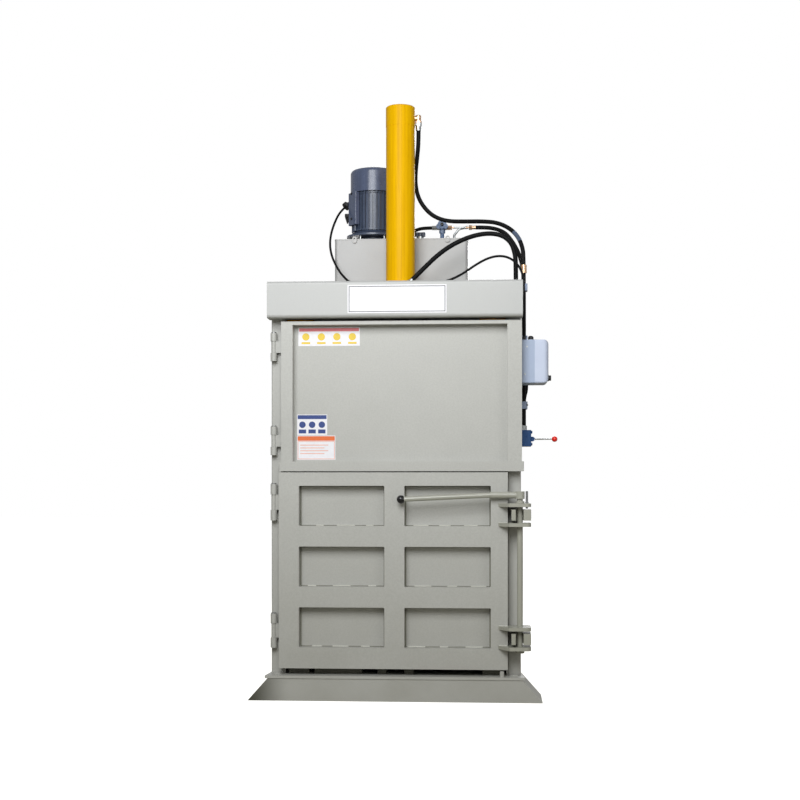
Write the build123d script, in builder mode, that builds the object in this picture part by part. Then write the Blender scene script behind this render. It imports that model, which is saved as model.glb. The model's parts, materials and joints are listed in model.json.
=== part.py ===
from build123d import *
from math import cos, hypot, pi, radians, sin, tan
import os

os.makedirs("parts", exist_ok=True)

# Upright baler for waste card and film.
# Millimetres. The floor is Z 0, the doors face -Y and the origin is on the floor under the ram.

# Sizes of the body
body_width = 1150.0
body_depth = 700.0
base_height = 103.0
floor_thick = 12.0
post_size = 60.0
post_wall = 5.0
post_corner = 7.0
wall_sheet = 6.0
head_top = 1913.0
head_thick = 25.0
bearer_rib_thick = 12.0
bearer_rib_drop = 128.0
bearer_rib_offset = 125.0

half_width = body_width / 2
half_depth = body_depth / 2
floor_top = base_height + floor_thick
head_under = head_top - head_thick
post_inner_x = half_width - post_size
post_inner_y = half_depth - post_size
wall_inner_x = post_inner_x - wall_sheet
wall_inner_y = post_inner_y - wall_sheet

# Sizes of the base
foot_reach = 86.0
foot_depth = 266.0
foot_sheet = 6.0
foot_top_overhang = 5.0
foot_flare = 92.0
rear_foot_depth = 180.0
bearer_width = 120.0
bearer_wall = 6.0
bearer_inset = 120.0
floor_lip = 4.0
floor_nose_overhang = 17.0
floor_taper_length = 210.0
floor_bar_height = 22.0
floor_bar_side_gap = 14.0
edge_bar_width = 95.0
floor_slot_gap = 25.0
broad_bar_right = -155.0
slot_bar_edges = ((-83.0, -43.0), (40.0, 82.0))
floor_bar_front_gap = 5.0
floor_bar_rear_gap = 4.0
foot_pad_radius = 22.0
foot_pad_height = 5.0
door_peg_radius = 10.0
door_peg_inset = 87.0
door_peg_gap = 5.0

foot_top_half = half_width + foot_top_overhang
bearer_spacing = half_width - bearer_inset
floor_nose_half = half_width + floor_nose_overhang
door_peg_x = half_width - door_peg_inset
foot_front = -(half_depth + foot_reach)
foot_back = foot_front + foot_depth
rear_foot_front = half_depth - rear_foot_depth
floor_front = foot_front - floor_lip

# Front foot: a folded sheet tray, open underneath, its ends flared outwards
foot_bottom_half = foot_top_half + foot_flare
slant_sheet = foot_sheet * hypot(foot_flare, base_height) / base_height
inner_height = base_height - foot_sheet
inner_top_half = foot_bottom_half - foot_flare * inner_height / base_height - slant_sheet
with BuildPart() as front_foot:
    with BuildSketch(Plane.XZ.offset(-foot_front)):
        with BuildLine():
            Polyline(
                (-foot_bottom_half, 0),
                (-foot_top_half, base_height),
                (foot_top_half, base_height),
                (foot_bottom_half, 0),
                close=True,
            )
        make_face()
    extrude(amount=-foot_depth)
    with BuildSketch(Plane.XZ.offset(-(foot_front + foot_sheet))):
        with BuildLine():
            Polyline(
                (-(foot_bottom_half - slant_sheet), 0),
                (-inner_top_half, inner_height),
                (inner_top_half, inner_height),
                (foot_bottom_half - slant_sheet, 0),
                close=True,
            )
        make_face()
    extrude(amount=-(foot_depth - 2 * foot_sheet), mode=Mode.SUBTRACT)

# Rear foot: the same tray with straight ends
with BuildPart() as rear_foot:
    with BuildSketch(Plane.XY):
        with Locations((0, rear_foot_front + rear_foot_depth / 2)):
            Rectangle(body_width, rear_foot_depth)
    extrude(amount=base_height)
    with BuildSketch(Plane.XY):
        with Locations((0, rear_foot_front + rear_foot_depth / 2)):
            Rectangle(body_width - 2 * foot_sheet, rear_foot_depth - 2 * foot_sheet)
    extrude(amount=inner_height, mode=Mode.SUBTRACT)

# Three rectangular tubes tie the feet together
with BuildPart() as base_bearers:
    with BuildSketch(Plane.XZ.offset(-foot_back)):
        with Locations(
            (-bearer_spacing, base_height / 2),
            (0, base_height / 2),
            (bearer_spacing, base_height / 2),
        ):
            Rectangle(bearer_width, base_height)
            Rectangle(bearer_width - 2 * bearer_wall, base_height - 2 * bearer_wall, mode=Mode.SUBTRACT)
    extrude(amount=-(rear_foot_front - foot_back))

# Floor plate, with the round pads at the front posts and the peg that the lower door closes over
door_thick = 58.0
door_gap = 2.0
door_back = -(half_depth + door_gap)
door_front = door_back - door_thick
lower_door_bottom = 145.0
with BuildPart() as floor_plate:
    with BuildSketch(Plane.XY.offset(base_height)):
        with BuildLine():
            Polyline(
                (-floor_nose_half, floor_front),
                (floor_nose_half, floor_front),
                (half_width, floor_front + floor_taper_length),
                (half_width, half_depth),
                (-half_width, half_depth),
                (-half_width, floor_front + floor_taper_length),
                close=True,
            )
        make_face()
    extrude(amount=floor_thick)
    with BuildSketch(Plane.XY.offset(floor_top)):
        with Locations(
            (-(half_width - post_size / 2), -(half_depth + foot_pad_radius)),
            (half_width - post_size / 2, -(half_depth + foot_pad_radius)),
        ):
            Circle(foot_pad_radius)
    extrude(amount=foot_pad_height)
    with BuildSketch(Plane.XY.offset(floor_top)):
        with Locations((door_peg_x, door_front - door_peg_radius - door_peg_gap)):
            Circle(door_peg_radius)
    extrude(amount=lower_door_bottom - floor_top - door_peg_gap)

# Floor bars: flats welded to the floor plate, the slots between them take the strapping
edge_bar_out = wall_inner_x - floor_bar_side_gap
edge_bar_in = edge_bar_out - edge_bar_width
floor_bar_edges = (
    (-edge_bar_out, -edge_bar_in),
    (floor_slot_gap - edge_bar_in, broad_bar_right),
    *slot_bar_edges,
    (edge_bar_in, edge_bar_out),
)
with BuildPart() as floor_bars:
    with BuildSketch(Plane.XY.offset(floor_top)):
        for bar_left, bar_right in floor_bar_edges:
            bar_front = -half_depth + floor_bar_front_gap
            bar_back = wall_inner_y - floor_bar_rear_gap
            with Locations(((bar_left + bar_right) / 2, (bar_front + bar_back) / 2)):
                Rectangle(bar_right - bar_left, bar_back - bar_front)
    extrude(amount=floor_bar_height)

# Corner posts: square tubes
with BuildPart() as corner_posts:
    with BuildSketch(Plane.XY.offset(floor_top)):
        with GridLocations(body_width - post_size, body_depth - post_size, 2, 2):
            RectangleRounded(post_size, post_size, post_corner)
            Rectangle(post_size - 2 * post_wall, post_size - 2 * post_wall, mode=Mode.SUBTRACT)
    extrude(amount=head_under - floor_top)

# Chamber walls: plain sheets inside the posts
with BuildPart() as left_wall:
    with BuildSketch(Plane.XY.offset(floor_top)):
        with Locations((-(wall_inner_x + wall_sheet / 2), 0)):
            Rectangle(wall_sheet, body_depth)
    extrude(amount=head_under - floor_top)

with BuildPart() as right_wall:
    with BuildSketch(Plane.XY.offset(floor_top)):
        with Locations((wall_inner_x + wall_sheet / 2, 0)):
            Rectangle(wall_sheet, body_depth)
    extrude(amount=head_under - floor_top)

with BuildPart() as rear_wall:
    with BuildSketch(Plane.XY.offset(floor_top)):
        with Locations((0, wall_inner_y + wall_sheet / 2)):
            Rectangle(2 * wall_inner_x, wall_sheet)
    extrude(amount=head_under - floor_top)

# Stiffening ribs between the posts: flat tubes, slim at the sides to leave a hose way
rib_height = 70.0
rib_wall = 5.0
side_rib_depth = 24.0
rear_rib_depth = 40.0
rib_first_level = 330.0
rib_pitch = 390.0
rib_count = 4
rib_levels = [rib_first_level + rib_pitch * step for step in range(rib_count)]
with BuildPart() as wall_ribs:
    with BuildSketch(Plane.XZ.offset(post_inner_y)):
        for side in (-1, 1):
            with Locations(*[(side * (post_inner_x + side_rib_depth / 2), level) for level in rib_levels]):
                Rectangle(side_rib_depth, rib_height)
                Rectangle(side_rib_depth - 2 * rib_wall, rib_height - 2 * rib_wall, mode=Mode.SUBTRACT)
    extrude(amount=-2 * post_inner_y)
    with BuildSketch(Plane.YZ.offset(-wall_inner_x)):
        with Locations(*[(post_inner_y + rear_rib_depth / 2, level) for level in rib_levels]):
            Rectangle(rear_rib_depth, rib_height)
            Rectangle(rear_rib_depth - 2 * rib_wall, rib_height - 2 * rib_wall, mode=Mode.SUBTRACT)
    extrude(amount=2 * wall_inner_x)

# Head beams: folded channels, open towards the body
beam_height = 167.0
beam_sheet = 8.0
beam_bend = 14.0
beam_overhang = 7.0
front_beam_depth = 92.0
rear_beam_depth = 60.0
beam_half = half_width + beam_overhang
beam_bottom = head_top - beam_height
with BuildPart() as front_beam:
    with BuildSketch(Plane.YZ.offset(-beam_half)) as front_beam_profile:
        with Locations((-half_depth, beam_bottom)):
            Rectangle(front_beam_depth, beam_height, align=(Align.MAX, Align.MIN))
        fillet(front_beam_profile.vertices().group_by(Axis.X)[0], radius=beam_bend)
        with BuildSketch(mode=Mode.SUBTRACT) as front_beam_inside:
            with Locations((-half_depth, beam_bottom + beam_sheet)):
                Rectangle(
                    front_beam_depth - beam_sheet,
                    beam_height - 2 * beam_sheet,
                    align=(Align.MAX, Align.MIN),
                )
            fillet(front_beam_inside.vertices().group_by(Axis.X)[0], radius=beam_bend - beam_sheet)
    extrude(amount=2 * beam_half)

with BuildPart() as rear_beam:
    with BuildSketch(Plane.YZ.offset(-beam_half)) as rear_beam_profile:
        with Locations((half_depth, beam_bottom)):
            Rectangle(rear_beam_depth, beam_height, align=(Align.MIN, Align.MIN))
        fillet(rear_beam_profile.vertices().group_by(Axis.X)[-1], radius=beam_bend)
        with BuildSketch(mode=Mode.SUBTRACT) as rear_beam_inside:
            with Locations((half_depth, beam_bottom + beam_sheet)):
                Rectangle(
                    rear_beam_depth - beam_sheet,
                    beam_height - 2 * beam_sheet,
                    align=(Align.MIN, Align.MIN),
                )
            fillet(rear_beam_inside.vertices().group_by(Axis.X)[-1], radius=beam_bend - beam_sheet)
    extrude(amount=2 * beam_half)

# Hydraulic cylinder, standing on the head plate
tube_outer = 70.0
tube_inner = 57.5
tube_top = 2716.0
flange_radius = 115.0
flange_thick = 30.0
flange_weld = 6.0
bolt_circle = 96.0
bolt_count = 8
bolt_radius = 8.0
bolt_hole_radius = 9.0
bolt_head_across = 24.0
bolt_head_height = 10.0
cap_height = 97.0
cap_radius = 71.0
cap_chamfer = 5.0
cap_cavity = 24.0
port_radius = 6.0
top_port_drop = 54.0
low_port_height = 44.0
low_port_angle = -57.0
bolt_start = low_port_angle + 180.0 / bolt_count
gland_lip_radius = 66.0
gland_lip_height = 12.0
gland_rise = 32.0
slide_clearance = 0.3
gland_hole_radius = tube_inner + 0.5
rod_radius = 40.0
cap_top = tube_top + cap_height
flange_top = head_top + flange_thick
top_port_z = cap_top - top_port_drop
low_port_z = head_top + low_port_height
low_port_way = Vector(cos(radians(low_port_angle)), sin(radians(low_port_angle)), 0)

with BuildPart() as cylinder_tube:
    with BuildSketch(Plane.XY.offset(head_top)):
        Circle(flange_radius)
        with PolarLocations(bolt_circle, bolt_count, start_angle=bolt_start):
            Circle(bolt_hole_radius, mode=Mode.SUBTRACT)
    extrude(amount=flange_thick)
    with BuildSketch(Plane.XY.offset(flange_top)):
        Circle(tube_outer)
    extrude(amount=tube_top - flange_top)
    seat_edge = cylinder_tube.edges().filter_by(GeomType.CIRCLE).filter_by(
        lambda edge: abs(edge.radius - tube_outer) < 0.01 and abs(edge.center().Z - flange_top) < 0.01
    )
    fillet(seat_edge, radius=flange_weld)
    with BuildSketch(Plane.XY.offset(head_top)):
        Circle(tube_inner)
    extrude(amount=tube_top - head_top, mode=Mode.SUBTRACT)
    with BuildSketch(Plane(origin=(0, 0, low_port_z), z_dir=low_port_way)):
        Circle(port_radius)
    extrude(amount=tube_outer + 10, mode=Mode.SUBTRACT)

with BuildPart() as cylinder_cap:
    with BuildSketch(Plane.XY.offset(tube_top)):
        Circle(cap_radius)
    extrude(amount=cap_height)
    chamfer(cylinder_cap.edges().group_by(Axis.Z)[-1], length=cap_chamfer)
    with BuildSketch(Plane.XY.offset(tube_top)):
        Circle(tube_inner)
    extrude(amount=cap_cavity, mode=Mode.SUBTRACT)
    with BuildSketch(Plane.XY.offset(tube_top)):
        Circle(port_radius)
    extrude(amount=top_port_z - tube_top + port_radius, mode=Mode.SUBTRACT)
    with BuildSketch(Plane.YZ.offset(0)):
        with Locations((0, top_port_z)):
            Circle(port_radius)
    extrude(amount=cap_radius + 10, mode=Mode.SUBTRACT)

with BuildPart() as cylinder_gland:
    with BuildSketch(Plane.XY.offset(head_under - gland_lip_height)):
        Circle(gland_lip_radius)
    extrude(amount=gland_lip_height)
    with BuildSketch(Plane.XY.offset(head_under)):
        Circle(tube_inner - slide_clearance)
    extrude(amount=head_thick + gland_rise)
    with BuildSketch(Plane.XY.offset(head_under - gland_lip_height)):
        Circle(rod_radius + slide_clearance)
    extrude(amount=gland_lip_height + head_thick + gland_rise, mode=Mode.SUBTRACT)

# Head plate with its two bearer ribs, the gland hole, the bolt holes and the notch for the lower hose
hose_bottom_size = 22.0
hose_bottom_inset = 19.0
hose_bottom_setback = 230.0
hose_bottom_x = half_width - hose_bottom_inset
hose_bottom_y = -half_depth + hose_bottom_setback
hose_notch_gap = 6.0
notch_half = hose_bottom_size / 2 + hose_notch_gap
with BuildPart() as head_plate:
    with BuildSketch(Plane.XY.offset(head_under)):
        Rectangle(body_width, body_depth)
        Circle(gland_hole_radius, mode=Mode.SUBTRACT)
        with PolarLocations(bolt_circle, bolt_count, start_angle=bolt_start):
            Circle(bolt_hole_radius, mode=Mode.SUBTRACT)
        with BuildSketch(mode=Mode.SUBTRACT):
            with Locations((hose_bottom_x, hose_bottom_y)):
                Circle(notch_half)
            with Locations((hose_bottom_x, hose_bottom_y)):
                Rectangle(half_width - hose_bottom_x + 1, 2 * notch_half, align=(Align.MIN, Align.CENTER))
    extrude(amount=head_thick)
    with BuildSketch(Plane.XY.offset(head_under - bearer_rib_drop)):
        rib_length = half_depth + wall_inner_y
        with Locations(
            (-bearer_rib_offset, (wall_inner_y - half_depth) / 2),
            (bearer_rib_offset, (wall_inner_y - half_depth) / 2),
        ):
            Rectangle(bearer_rib_thick, rib_length)
    extrude(amount=bearer_rib_drop)

# Press plate and its ram, drawn at the top of the stroke
platen_bottom = 1560.0
platen_plate = 20.0
platen_side_gap = 4.0
platen_front_gap = 20.0
platen_rear_gap = 9.0
platen_box_width = 120.0
platen_box_top = 1753.0
platen_box_sheet = 8.0
platen_web_thick = 12.0
platen_web_height = 90.0
platen_web_y = 150.0
gusset_reach = 85.0
gusset_y = -60.0
boss_radius = 95.0
boss_height = 20.0
rod_foot_radius = 75.0
rod_foot_height = 20.0
piston_height = 55.0
piston_top_gap = 5.0
piston_bore = 20.0
platen_half = wall_inner_x - platen_side_gap
platen_front = -half_depth + platen_front_gap
platen_back = wall_inner_y - platen_rear_gap
platen_depth = platen_back - platen_front
platen_top = platen_bottom + platen_plate
piston_top = tube_top + cap_cavity - piston_top_gap
piston_bottom = piston_top - piston_height
with BuildPart() as platen:
    with BuildSketch(Plane.XY.offset(platen_bottom)):
        with Locations((0, (platen_front + platen_back) / 2)):
            Rectangle(2 * platen_half, platen_depth)
    extrude(amount=platen_plate)
    with BuildSketch(Plane.XZ.offset(-platen_front)):
        for side in (-1, 1):
            box_x = side * (platen_half - platen_box_width / 2)
            with Locations((box_x, (platen_top + platen_box_top) / 2)):
                Rectangle(platen_box_width, platen_box_top - platen_top)
    extrude(amount=-platen_depth)
    with BuildSketch(Plane.XZ.offset(-(platen_front + platen_box_sheet))):
        for side in (-1, 1):
            box_x = side * (platen_half - platen_box_width / 2)
            with Locations((box_x, (platen_top + platen_box_top) / 2)):
                Rectangle(
                    platen_box_width - 2 * platen_box_sheet,
                    platen_box_top - platen_top - 2 * platen_box_sheet,
                )
    extrude(amount=-platen_depth, mode=Mode.SUBTRACT)
    with BuildSketch(Plane.XY.offset(platen_top)):
        with Locations((0, -platen_web_y), (0, platen_web_y)):
            Rectangle(2 * (platen_half - platen_box_width), platen_web_thick)
    extrude(amount=platen_web_height)
    with BuildSketch(Plane.XZ.offset(-gusset_y)):
        for side in (-1, 1):
            with BuildLine():
                box_face = side * (platen_half - platen_box_width)
                Polyline(
                    (box_face, platen_top),
                    (box_face, platen_box_top - 15),
                    (box_face - side * gusset_reach, platen_top + 40),
                    (box_face - side * gusset_reach, platen_top),
                    close=True,
                )
            make_face()
    extrude(amount=-platen_web_thick)
    with BuildSketch(Plane.XY.offset(platen_top)):
        Circle(boss_radius)
    extrude(amount=boss_height)

rod_bottom = platen_top + boss_height
with BuildPart() as ram_rod:
    with BuildSketch(Plane.XY.offset(rod_bottom)):
        Circle(rod_foot_radius)
    extrude(amount=rod_foot_height)
    with BuildSketch(Plane.XY.offset(rod_bottom + rod_foot_height)):
        Circle(rod_radius)
    extrude(amount=piston_bottom - rod_bottom - rod_foot_height)
    with BuildSketch(Plane.XY.offset(piston_bottom)):
        Circle(piston_bore - slide_clearance / 2)
    extrude(amount=piston_height)

with BuildPart() as piston:
    with BuildSketch(Plane.XY.offset(piston_bottom)):
        Circle(tube_inner - slide_clearance)
        Circle(piston_bore, mode=Mode.SUBTRACT)
    extrude(amount=piston_height)

# Guide shoes: wear strips on the outer faces of the press plate's side boxes
shoe_width = 80.0
shoe_height = 140.0
shoe_inset = 30.0
with BuildPart() as guide_shoes:
    for side in (-1, 1):
        with BuildSketch(Plane.YZ.offset(side * platen_half)):
            shoe_z = (platen_top + platen_box_top) / 2
            with Locations(
                (platen_front + shoe_inset + shoe_width / 2, shoe_z),
                (platen_back - shoe_inset - shoe_width / 2, shoe_z),
            ):
                Rectangle(shoe_width, shoe_height)
        extrude(amount=side * (platen_side_gap - slide_clearance))

# Oil tank on the head plate, behind the cylinder
tank_x = -5.4
tank_half = 329.2
tank_front = 122.0
tank_height = 280.0
tank_sheet = 4.0
tank_corner = 14.0
lid_thick = 6.0
lid_overlap = 1.0
lid_hole_radius = 24.0
tank_eye_offset = 229.8
tank_eye_size = 22.0
tank_eye_thick = 8.0
tank_eye_hole = 5.0
tank_eye_rise = 1.0
tank_back = half_depth + rear_beam_depth - 8.0
tank_y = (tank_front + tank_back) / 2
tank_depth = tank_back - tank_front
tank_top = head_top + tank_height
lid_top = tank_top + lid_thick
tank_eye_z = tank_top + tank_eye_rise
with BuildPart() as oil_tank:
    with BuildSketch(Plane.XY.offset(head_top)):
        with Locations((tank_x, tank_y)):
            RectangleRounded(2 * tank_half, tank_depth, tank_corner)
    extrude(amount=tank_height)
    with BuildSketch(Plane.XY.offset(head_top + tank_sheet)):
        with Locations((tank_x, tank_y)):
            RectangleRounded(
                2 * (tank_half - tank_sheet),
                tank_depth - 2 * tank_sheet,
                tank_corner - tank_sheet,
            )
    extrude(amount=tank_height, mode=Mode.SUBTRACT)
    with BuildSketch(Plane.XZ.offset(-(tank_front - lid_overlap))):
        with Locations((tank_x - tank_eye_offset, tank_eye_z), (tank_x + tank_eye_offset, tank_eye_z)):
            SlotOverall(1.45 * tank_eye_size, tank_eye_size, rotation=90)
            with Locations((0, tank_eye_size / 5)):
                Circle(tank_eye_hole, mode=Mode.SUBTRACT)
    extrude(amount=tank_eye_thick)
    with BuildSketch(Plane.XZ.offset(-tank_front)):
        with Locations(
            (tank_x - tank_eye_offset, tank_eye_z - 8),
            (tank_x + tank_eye_offset, tank_eye_z - 8),
        ):
            Rectangle(tank_eye_size, 10)
    extrude(amount=lid_overlap)

motor_x = -150.5
motor_y = tank_y
with BuildPart() as tank_lid:
    with BuildSketch(Plane.XY.offset(tank_top)):
        with Locations((tank_x, tank_y)):
            RectangleRounded(2 * (tank_half + lid_overlap), tank_depth + 2 * lid_overlap, tank_corner)
        with Locations((motor_x, motor_y)):
            Circle(lid_hole_radius, mode=Mode.SUBTRACT)
    extrude(amount=lid_thick)

# Motor: flange ring on studs, finned housing, cowl and what turns inside
flange_ring_radius = 137.0
flange_ring_gap = 24.0
flange_ring_thick = 9.0
flange_hub_radius = 66.0
flange_bore = 44.0
flange_height = 53.0
motor_core_radius = 100.0
motor_fin_radius = 113.0
motor_fin_thick = 3.2
motor_fin_count = 36
motor_height = 193.0
motor_bore = 56.0
motor_end_wall = 12.0
motor_band_radius = 106.0
motor_band_height = 9.0
shaft_radius = 15.0
cowl_radius = 118.0
cowl_sheet = 2.0
cowl_height = 118.0
cowl_round = 20.0
cowl_seat = 10.0
cowl_gap = 3.0
cowl_slot_count = 12
cowl_slot_inner = 34.0
cowl_slot_length = 44.0
cowl_slot_width = 7.0
motor_bottom = lid_top + flange_height
motor_top = motor_bottom + motor_height
stud_radius = 5.0
stud_count = 6
stud_circle = 118.0
with BuildPart() as motor_flange:
    with BuildSketch(Plane(origin=(motor_x, motor_y, lid_top), x_dir=(1, 0, 0), z_dir=(0, -1, 0))):
        with BuildLine():
            Polyline(
                (flange_bore, 0),
                (flange_hub_radius, 0),
                (flange_hub_radius, flange_ring_gap),
                (flange_ring_radius, flange_ring_gap),
                (flange_ring_radius, flange_ring_gap + flange_ring_thick),
                (motor_core_radius + 8, flange_height - 8),
                (motor_core_radius, flange_height),
                (flange_bore, flange_height),
                close=True,
            )
        make_face()
    revolve(axis=Axis((motor_x, motor_y, 0), (0, 0, 1)))

terminal_angle = 215.0
terminal_width = 73.0
terminal_height = 161.0
terminal_reach = 129.0
terminal_bottom = 2281.0
terminal_clearance = 0.3
terminal_way = Vector(cos(radians(terminal_angle)), sin(radians(terminal_angle)), 0)
terminal_side = Vector(sin(radians(terminal_angle)), -cos(radians(terminal_angle)), 0)
motor_base = Vector(motor_x, motor_y, motor_bottom)
with BuildPart() as motor_housing:
    with BuildSketch(Plane.XY.offset(motor_bottom)):
        with Locations((motor_x, motor_y)):
            Circle(motor_core_radius)
            with PolarLocations(
                motor_core_radius + (motor_fin_radius - motor_core_radius) / 2 - 1,
                motor_fin_count,
            ):
                Rectangle(motor_fin_radius - motor_core_radius + 2, motor_fin_thick)
    extrude(amount=motor_height)
    for band_z in (motor_bottom, motor_top - motor_band_height):
        with BuildSketch(Plane.XY.offset(band_z)):
            with Locations((motor_x, motor_y)):
                Circle(motor_band_radius)
        extrude(amount=motor_band_height)
    with BuildSketch(Plane.XY.offset(motor_top)):
        with Locations((motor_x, motor_y)):
            Circle(motor_band_radius)
    extrude(amount=cowl_gap)
    with BuildSketch(Plane.XY.offset(motor_top + cowl_gap)):
        with Locations((motor_x, motor_y)):
            Circle(cowl_radius - cowl_sheet - slide_clearance)
    extrude(amount=cowl_seat)
    with BuildSketch(Plane.XY.offset(motor_bottom + motor_end_wall)):
        with Locations((motor_x, motor_y)):
            Circle(motor_bore)
    extrude(amount=motor_height - 2 * motor_end_wall, mode=Mode.SUBTRACT)
    with BuildSketch(Plane.XY.offset(motor_bottom)):
        with Locations((motor_x, motor_y)):
            Circle(shaft_radius + slide_clearance)
    extrude(amount=motor_height + cowl_gap + cowl_seat, mode=Mode.SUBTRACT)
    drain_x = motor_x + terminal_way.X * (motor_fin_radius - 4)
    drain_y = motor_y + terminal_way.Y * (motor_fin_radius - 4)
    with BuildSketch(Plane.XY.offset(motor_bottom)):
        with Locations((drain_x, drain_y)):
            Circle(9)
    extrude(amount=terminal_bottom - motor_bottom)

with BuildPart() as fan_cowl:
    with BuildSketch(Plane.XY.offset(motor_top)):
        with Locations((motor_x, motor_y)):
            Circle(cowl_radius)
    extrude(amount=cowl_height)
    fillet(fan_cowl.edges().group_by(Axis.Z)[-1], radius=cowl_round)
    with BuildSketch(Plane.XY.offset(motor_top)):
        with Locations((motor_x, motor_y)):
            Circle(cowl_radius + cowl_sheet)
    extrude(amount=5)
    with BuildSketch(Plane.XY.offset(motor_top)):
        with Locations((motor_x, motor_y)):
            Circle(cowl_radius - cowl_sheet)
    extrude(amount=cowl_height - cowl_round, mode=Mode.SUBTRACT)
    with BuildSketch(Plane.XY.offset(motor_top + cowl_height - cowl_round)):
        with Locations((motor_x, motor_y)):
            Circle(cowl_radius - cowl_round)
    extrude(amount=cowl_round - cowl_sheet, mode=Mode.SUBTRACT)
    with BuildSketch(Plane.XY.offset(motor_top + cowl_height - cowl_sheet)):
        with Locations((motor_x, motor_y)):
            with PolarLocations(cowl_slot_inner + cowl_slot_length / 2, cowl_slot_count):
                SlotOverall(cowl_slot_length, cowl_slot_width)
    extrude(amount=cowl_sheet, mode=Mode.SUBTRACT)

# Shallow terminal box on the fins, its back curved to them
with BuildPart() as terminal_box:
    with BuildSketch(Plane.XY.offset(terminal_bottom)):
        with BuildLine():
            near_left = (
                motor_base
                + terminal_way * (motor_core_radius - 8)
                - terminal_side * (terminal_width / 2)
            )
            near_right = (
                motor_base
                + terminal_way * (motor_core_radius - 8)
                + terminal_side * (terminal_width / 2)
            )
            far_right = motor_base + terminal_way * terminal_reach + terminal_side * (terminal_width / 2)
            far_left = motor_base + terminal_way * terminal_reach - terminal_side * (terminal_width / 2)
            Polyline(
                (near_left.X, near_left.Y),
                (near_right.X, near_right.Y),
                (far_right.X, far_right.Y),
                (far_left.X, far_left.Y),
                close=True,
            )
        make_face()
    extrude(amount=terminal_height)
    fillet(
        terminal_box.edges().filter_by(Axis.Z).sort_by_distance(
            (motor_x, motor_y, terminal_bottom + terminal_height / 2)
        )[-2:],
        radius=5,
    )
    with BuildSketch(Plane.XY.offset(terminal_bottom)):
        with Locations((motor_x, motor_y)):
            Circle(motor_fin_radius + terminal_clearance)
    extrude(amount=terminal_height, mode=Mode.SUBTRACT)

# Rotor with its shaft and coupling half, the fan on the shaft and the pump under the lid
coupling_radius = 28.0
coupling_height = 40.0
pump_shaft_radius = 10.0
pump_shaft_rise = 16.0
rotor_end_gap = 5.0
coupling_bottom = lid_top + 4
with BuildPart() as motor_rotor:
    with BuildSketch(Plane.XY.offset(coupling_bottom)):
        with Locations((motor_x, motor_y)):
            Circle(coupling_radius)
    extrude(amount=coupling_height)
    with BuildSketch(Plane.XY.offset(coupling_bottom + coupling_height)):
        with Locations((motor_x, motor_y)):
            Circle(shaft_radius)
    extrude(amount=motor_top + 68 - coupling_bottom - coupling_height)
    with BuildSketch(Plane.XY.offset(motor_bottom + motor_end_wall + rotor_end_gap)):
        with Locations((motor_x, motor_y)):
            Circle(motor_bore - 1)
    extrude(amount=motor_height - 2 * motor_end_wall - 2 * rotor_end_gap)
    with BuildSketch(Plane.XY.offset(coupling_bottom)):
        with Locations((motor_x, motor_y)):
            Circle(pump_shaft_radius + slide_clearance)
    extrude(amount=pump_shaft_rise - 2, mode=Mode.SUBTRACT)

fan_hub_radius = 24.0
fan_radius = 96.0
fan_blade_count = 7
fan_blade_thick = 3.0
fan_height = 34.0
fan_bottom = motor_top + 26
with BuildPart() as cooling_fan:
    with BuildSketch(Plane.XY.offset(fan_bottom)):
        with Locations((motor_x, motor_y)):
            Circle(fan_hub_radius)
            with PolarLocations((fan_hub_radius + fan_radius) / 2 - 1, fan_blade_count):
                Rectangle(fan_radius - fan_hub_radius + 2, fan_blade_thick)
            Circle(shaft_radius + 0.05, mode=Mode.SUBTRACT)
    extrude(amount=fan_height)

pump_radius = 62.0
pump_height = 120.0
with BuildPart() as pump_body:
    with BuildSketch(Plane.XY.offset(tank_top)):
        with Locations((motor_x, motor_y)):
            Circle(pump_radius)
    extrude(amount=-14)
    with BuildSketch(Plane.XY.offset(tank_top - 14)):
        with Locations((motor_x, motor_y)):
            Circle(pump_radius - 14)
    extrude(amount=-(pump_height - 14))
    with BuildSketch(Plane.XY.offset(tank_top)):
        with Locations((motor_x, motor_y)):
            Circle(pump_shaft_radius)
    extrude(amount=lid_thick + pump_shaft_rise)

# Filler neck and cap, relief block and breather on the tank lid
filler_x = 84.0
filler_y = 230.0
filler_neck_radius = 19.0
filler_neck_height = 25.0
filler_lobe_radius = 11.0
filler_lobe_circle = 18.0
filler_cap_height = 21.0
with BuildPart() as filler_cap:
    with BuildSketch(Plane.XY.offset(lid_top + filler_neck_height)):
        with Locations((filler_x, filler_y)):
            Circle(filler_lobe_circle)
            with PolarLocations(filler_lobe_circle, 3, start_angle=90):
                Circle(filler_lobe_radius)
    extrude(amount=filler_cap_height)
    fillet(filler_cap.edges().group_by(Axis.Z)[-1], radius=3)

relief_x = 195.5
relief_y = 190.0
relief_z = 2275.7
relief_thick = 44.0
relief_lobe_circle = 19.0
relief_lobe_radius = 13.0
relief_core_radius = 22.0
stem_across = 26.0
stem_radius = 10.0
pressure_z = 2261.2
with BuildPart() as relief_block:
    with BuildSketch(Plane.XZ.offset(-(relief_y - relief_thick / 2))):
        with Locations((relief_x, relief_z)):
            Circle(relief_core_radius)
            with PolarLocations(relief_lobe_circle, 3, start_angle=90):
                Circle(relief_lobe_radius)
    extrude(amount=-relief_thick)
    with BuildSketch(Plane.XZ.offset(-(relief_y - relief_thick / 2))):
        with Locations((relief_x, relief_z)):
            RegularPolygon(8, 6)
    extrude(amount=5)
    with BuildSketch(Plane.XY.offset(lid_top)):
        with Locations((relief_x, relief_y)):
            Circle(stem_radius)
    extrude(amount=relief_z - relief_core_radius + 4 - lid_top)
    with BuildSketch(Plane.XY.offset(relief_z - relief_core_radius - 20)):
        with Locations((relief_x, relief_y)):
            RegularPolygon(stem_across / 2, 6, major_radius=False)
    extrude(amount=22)

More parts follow.
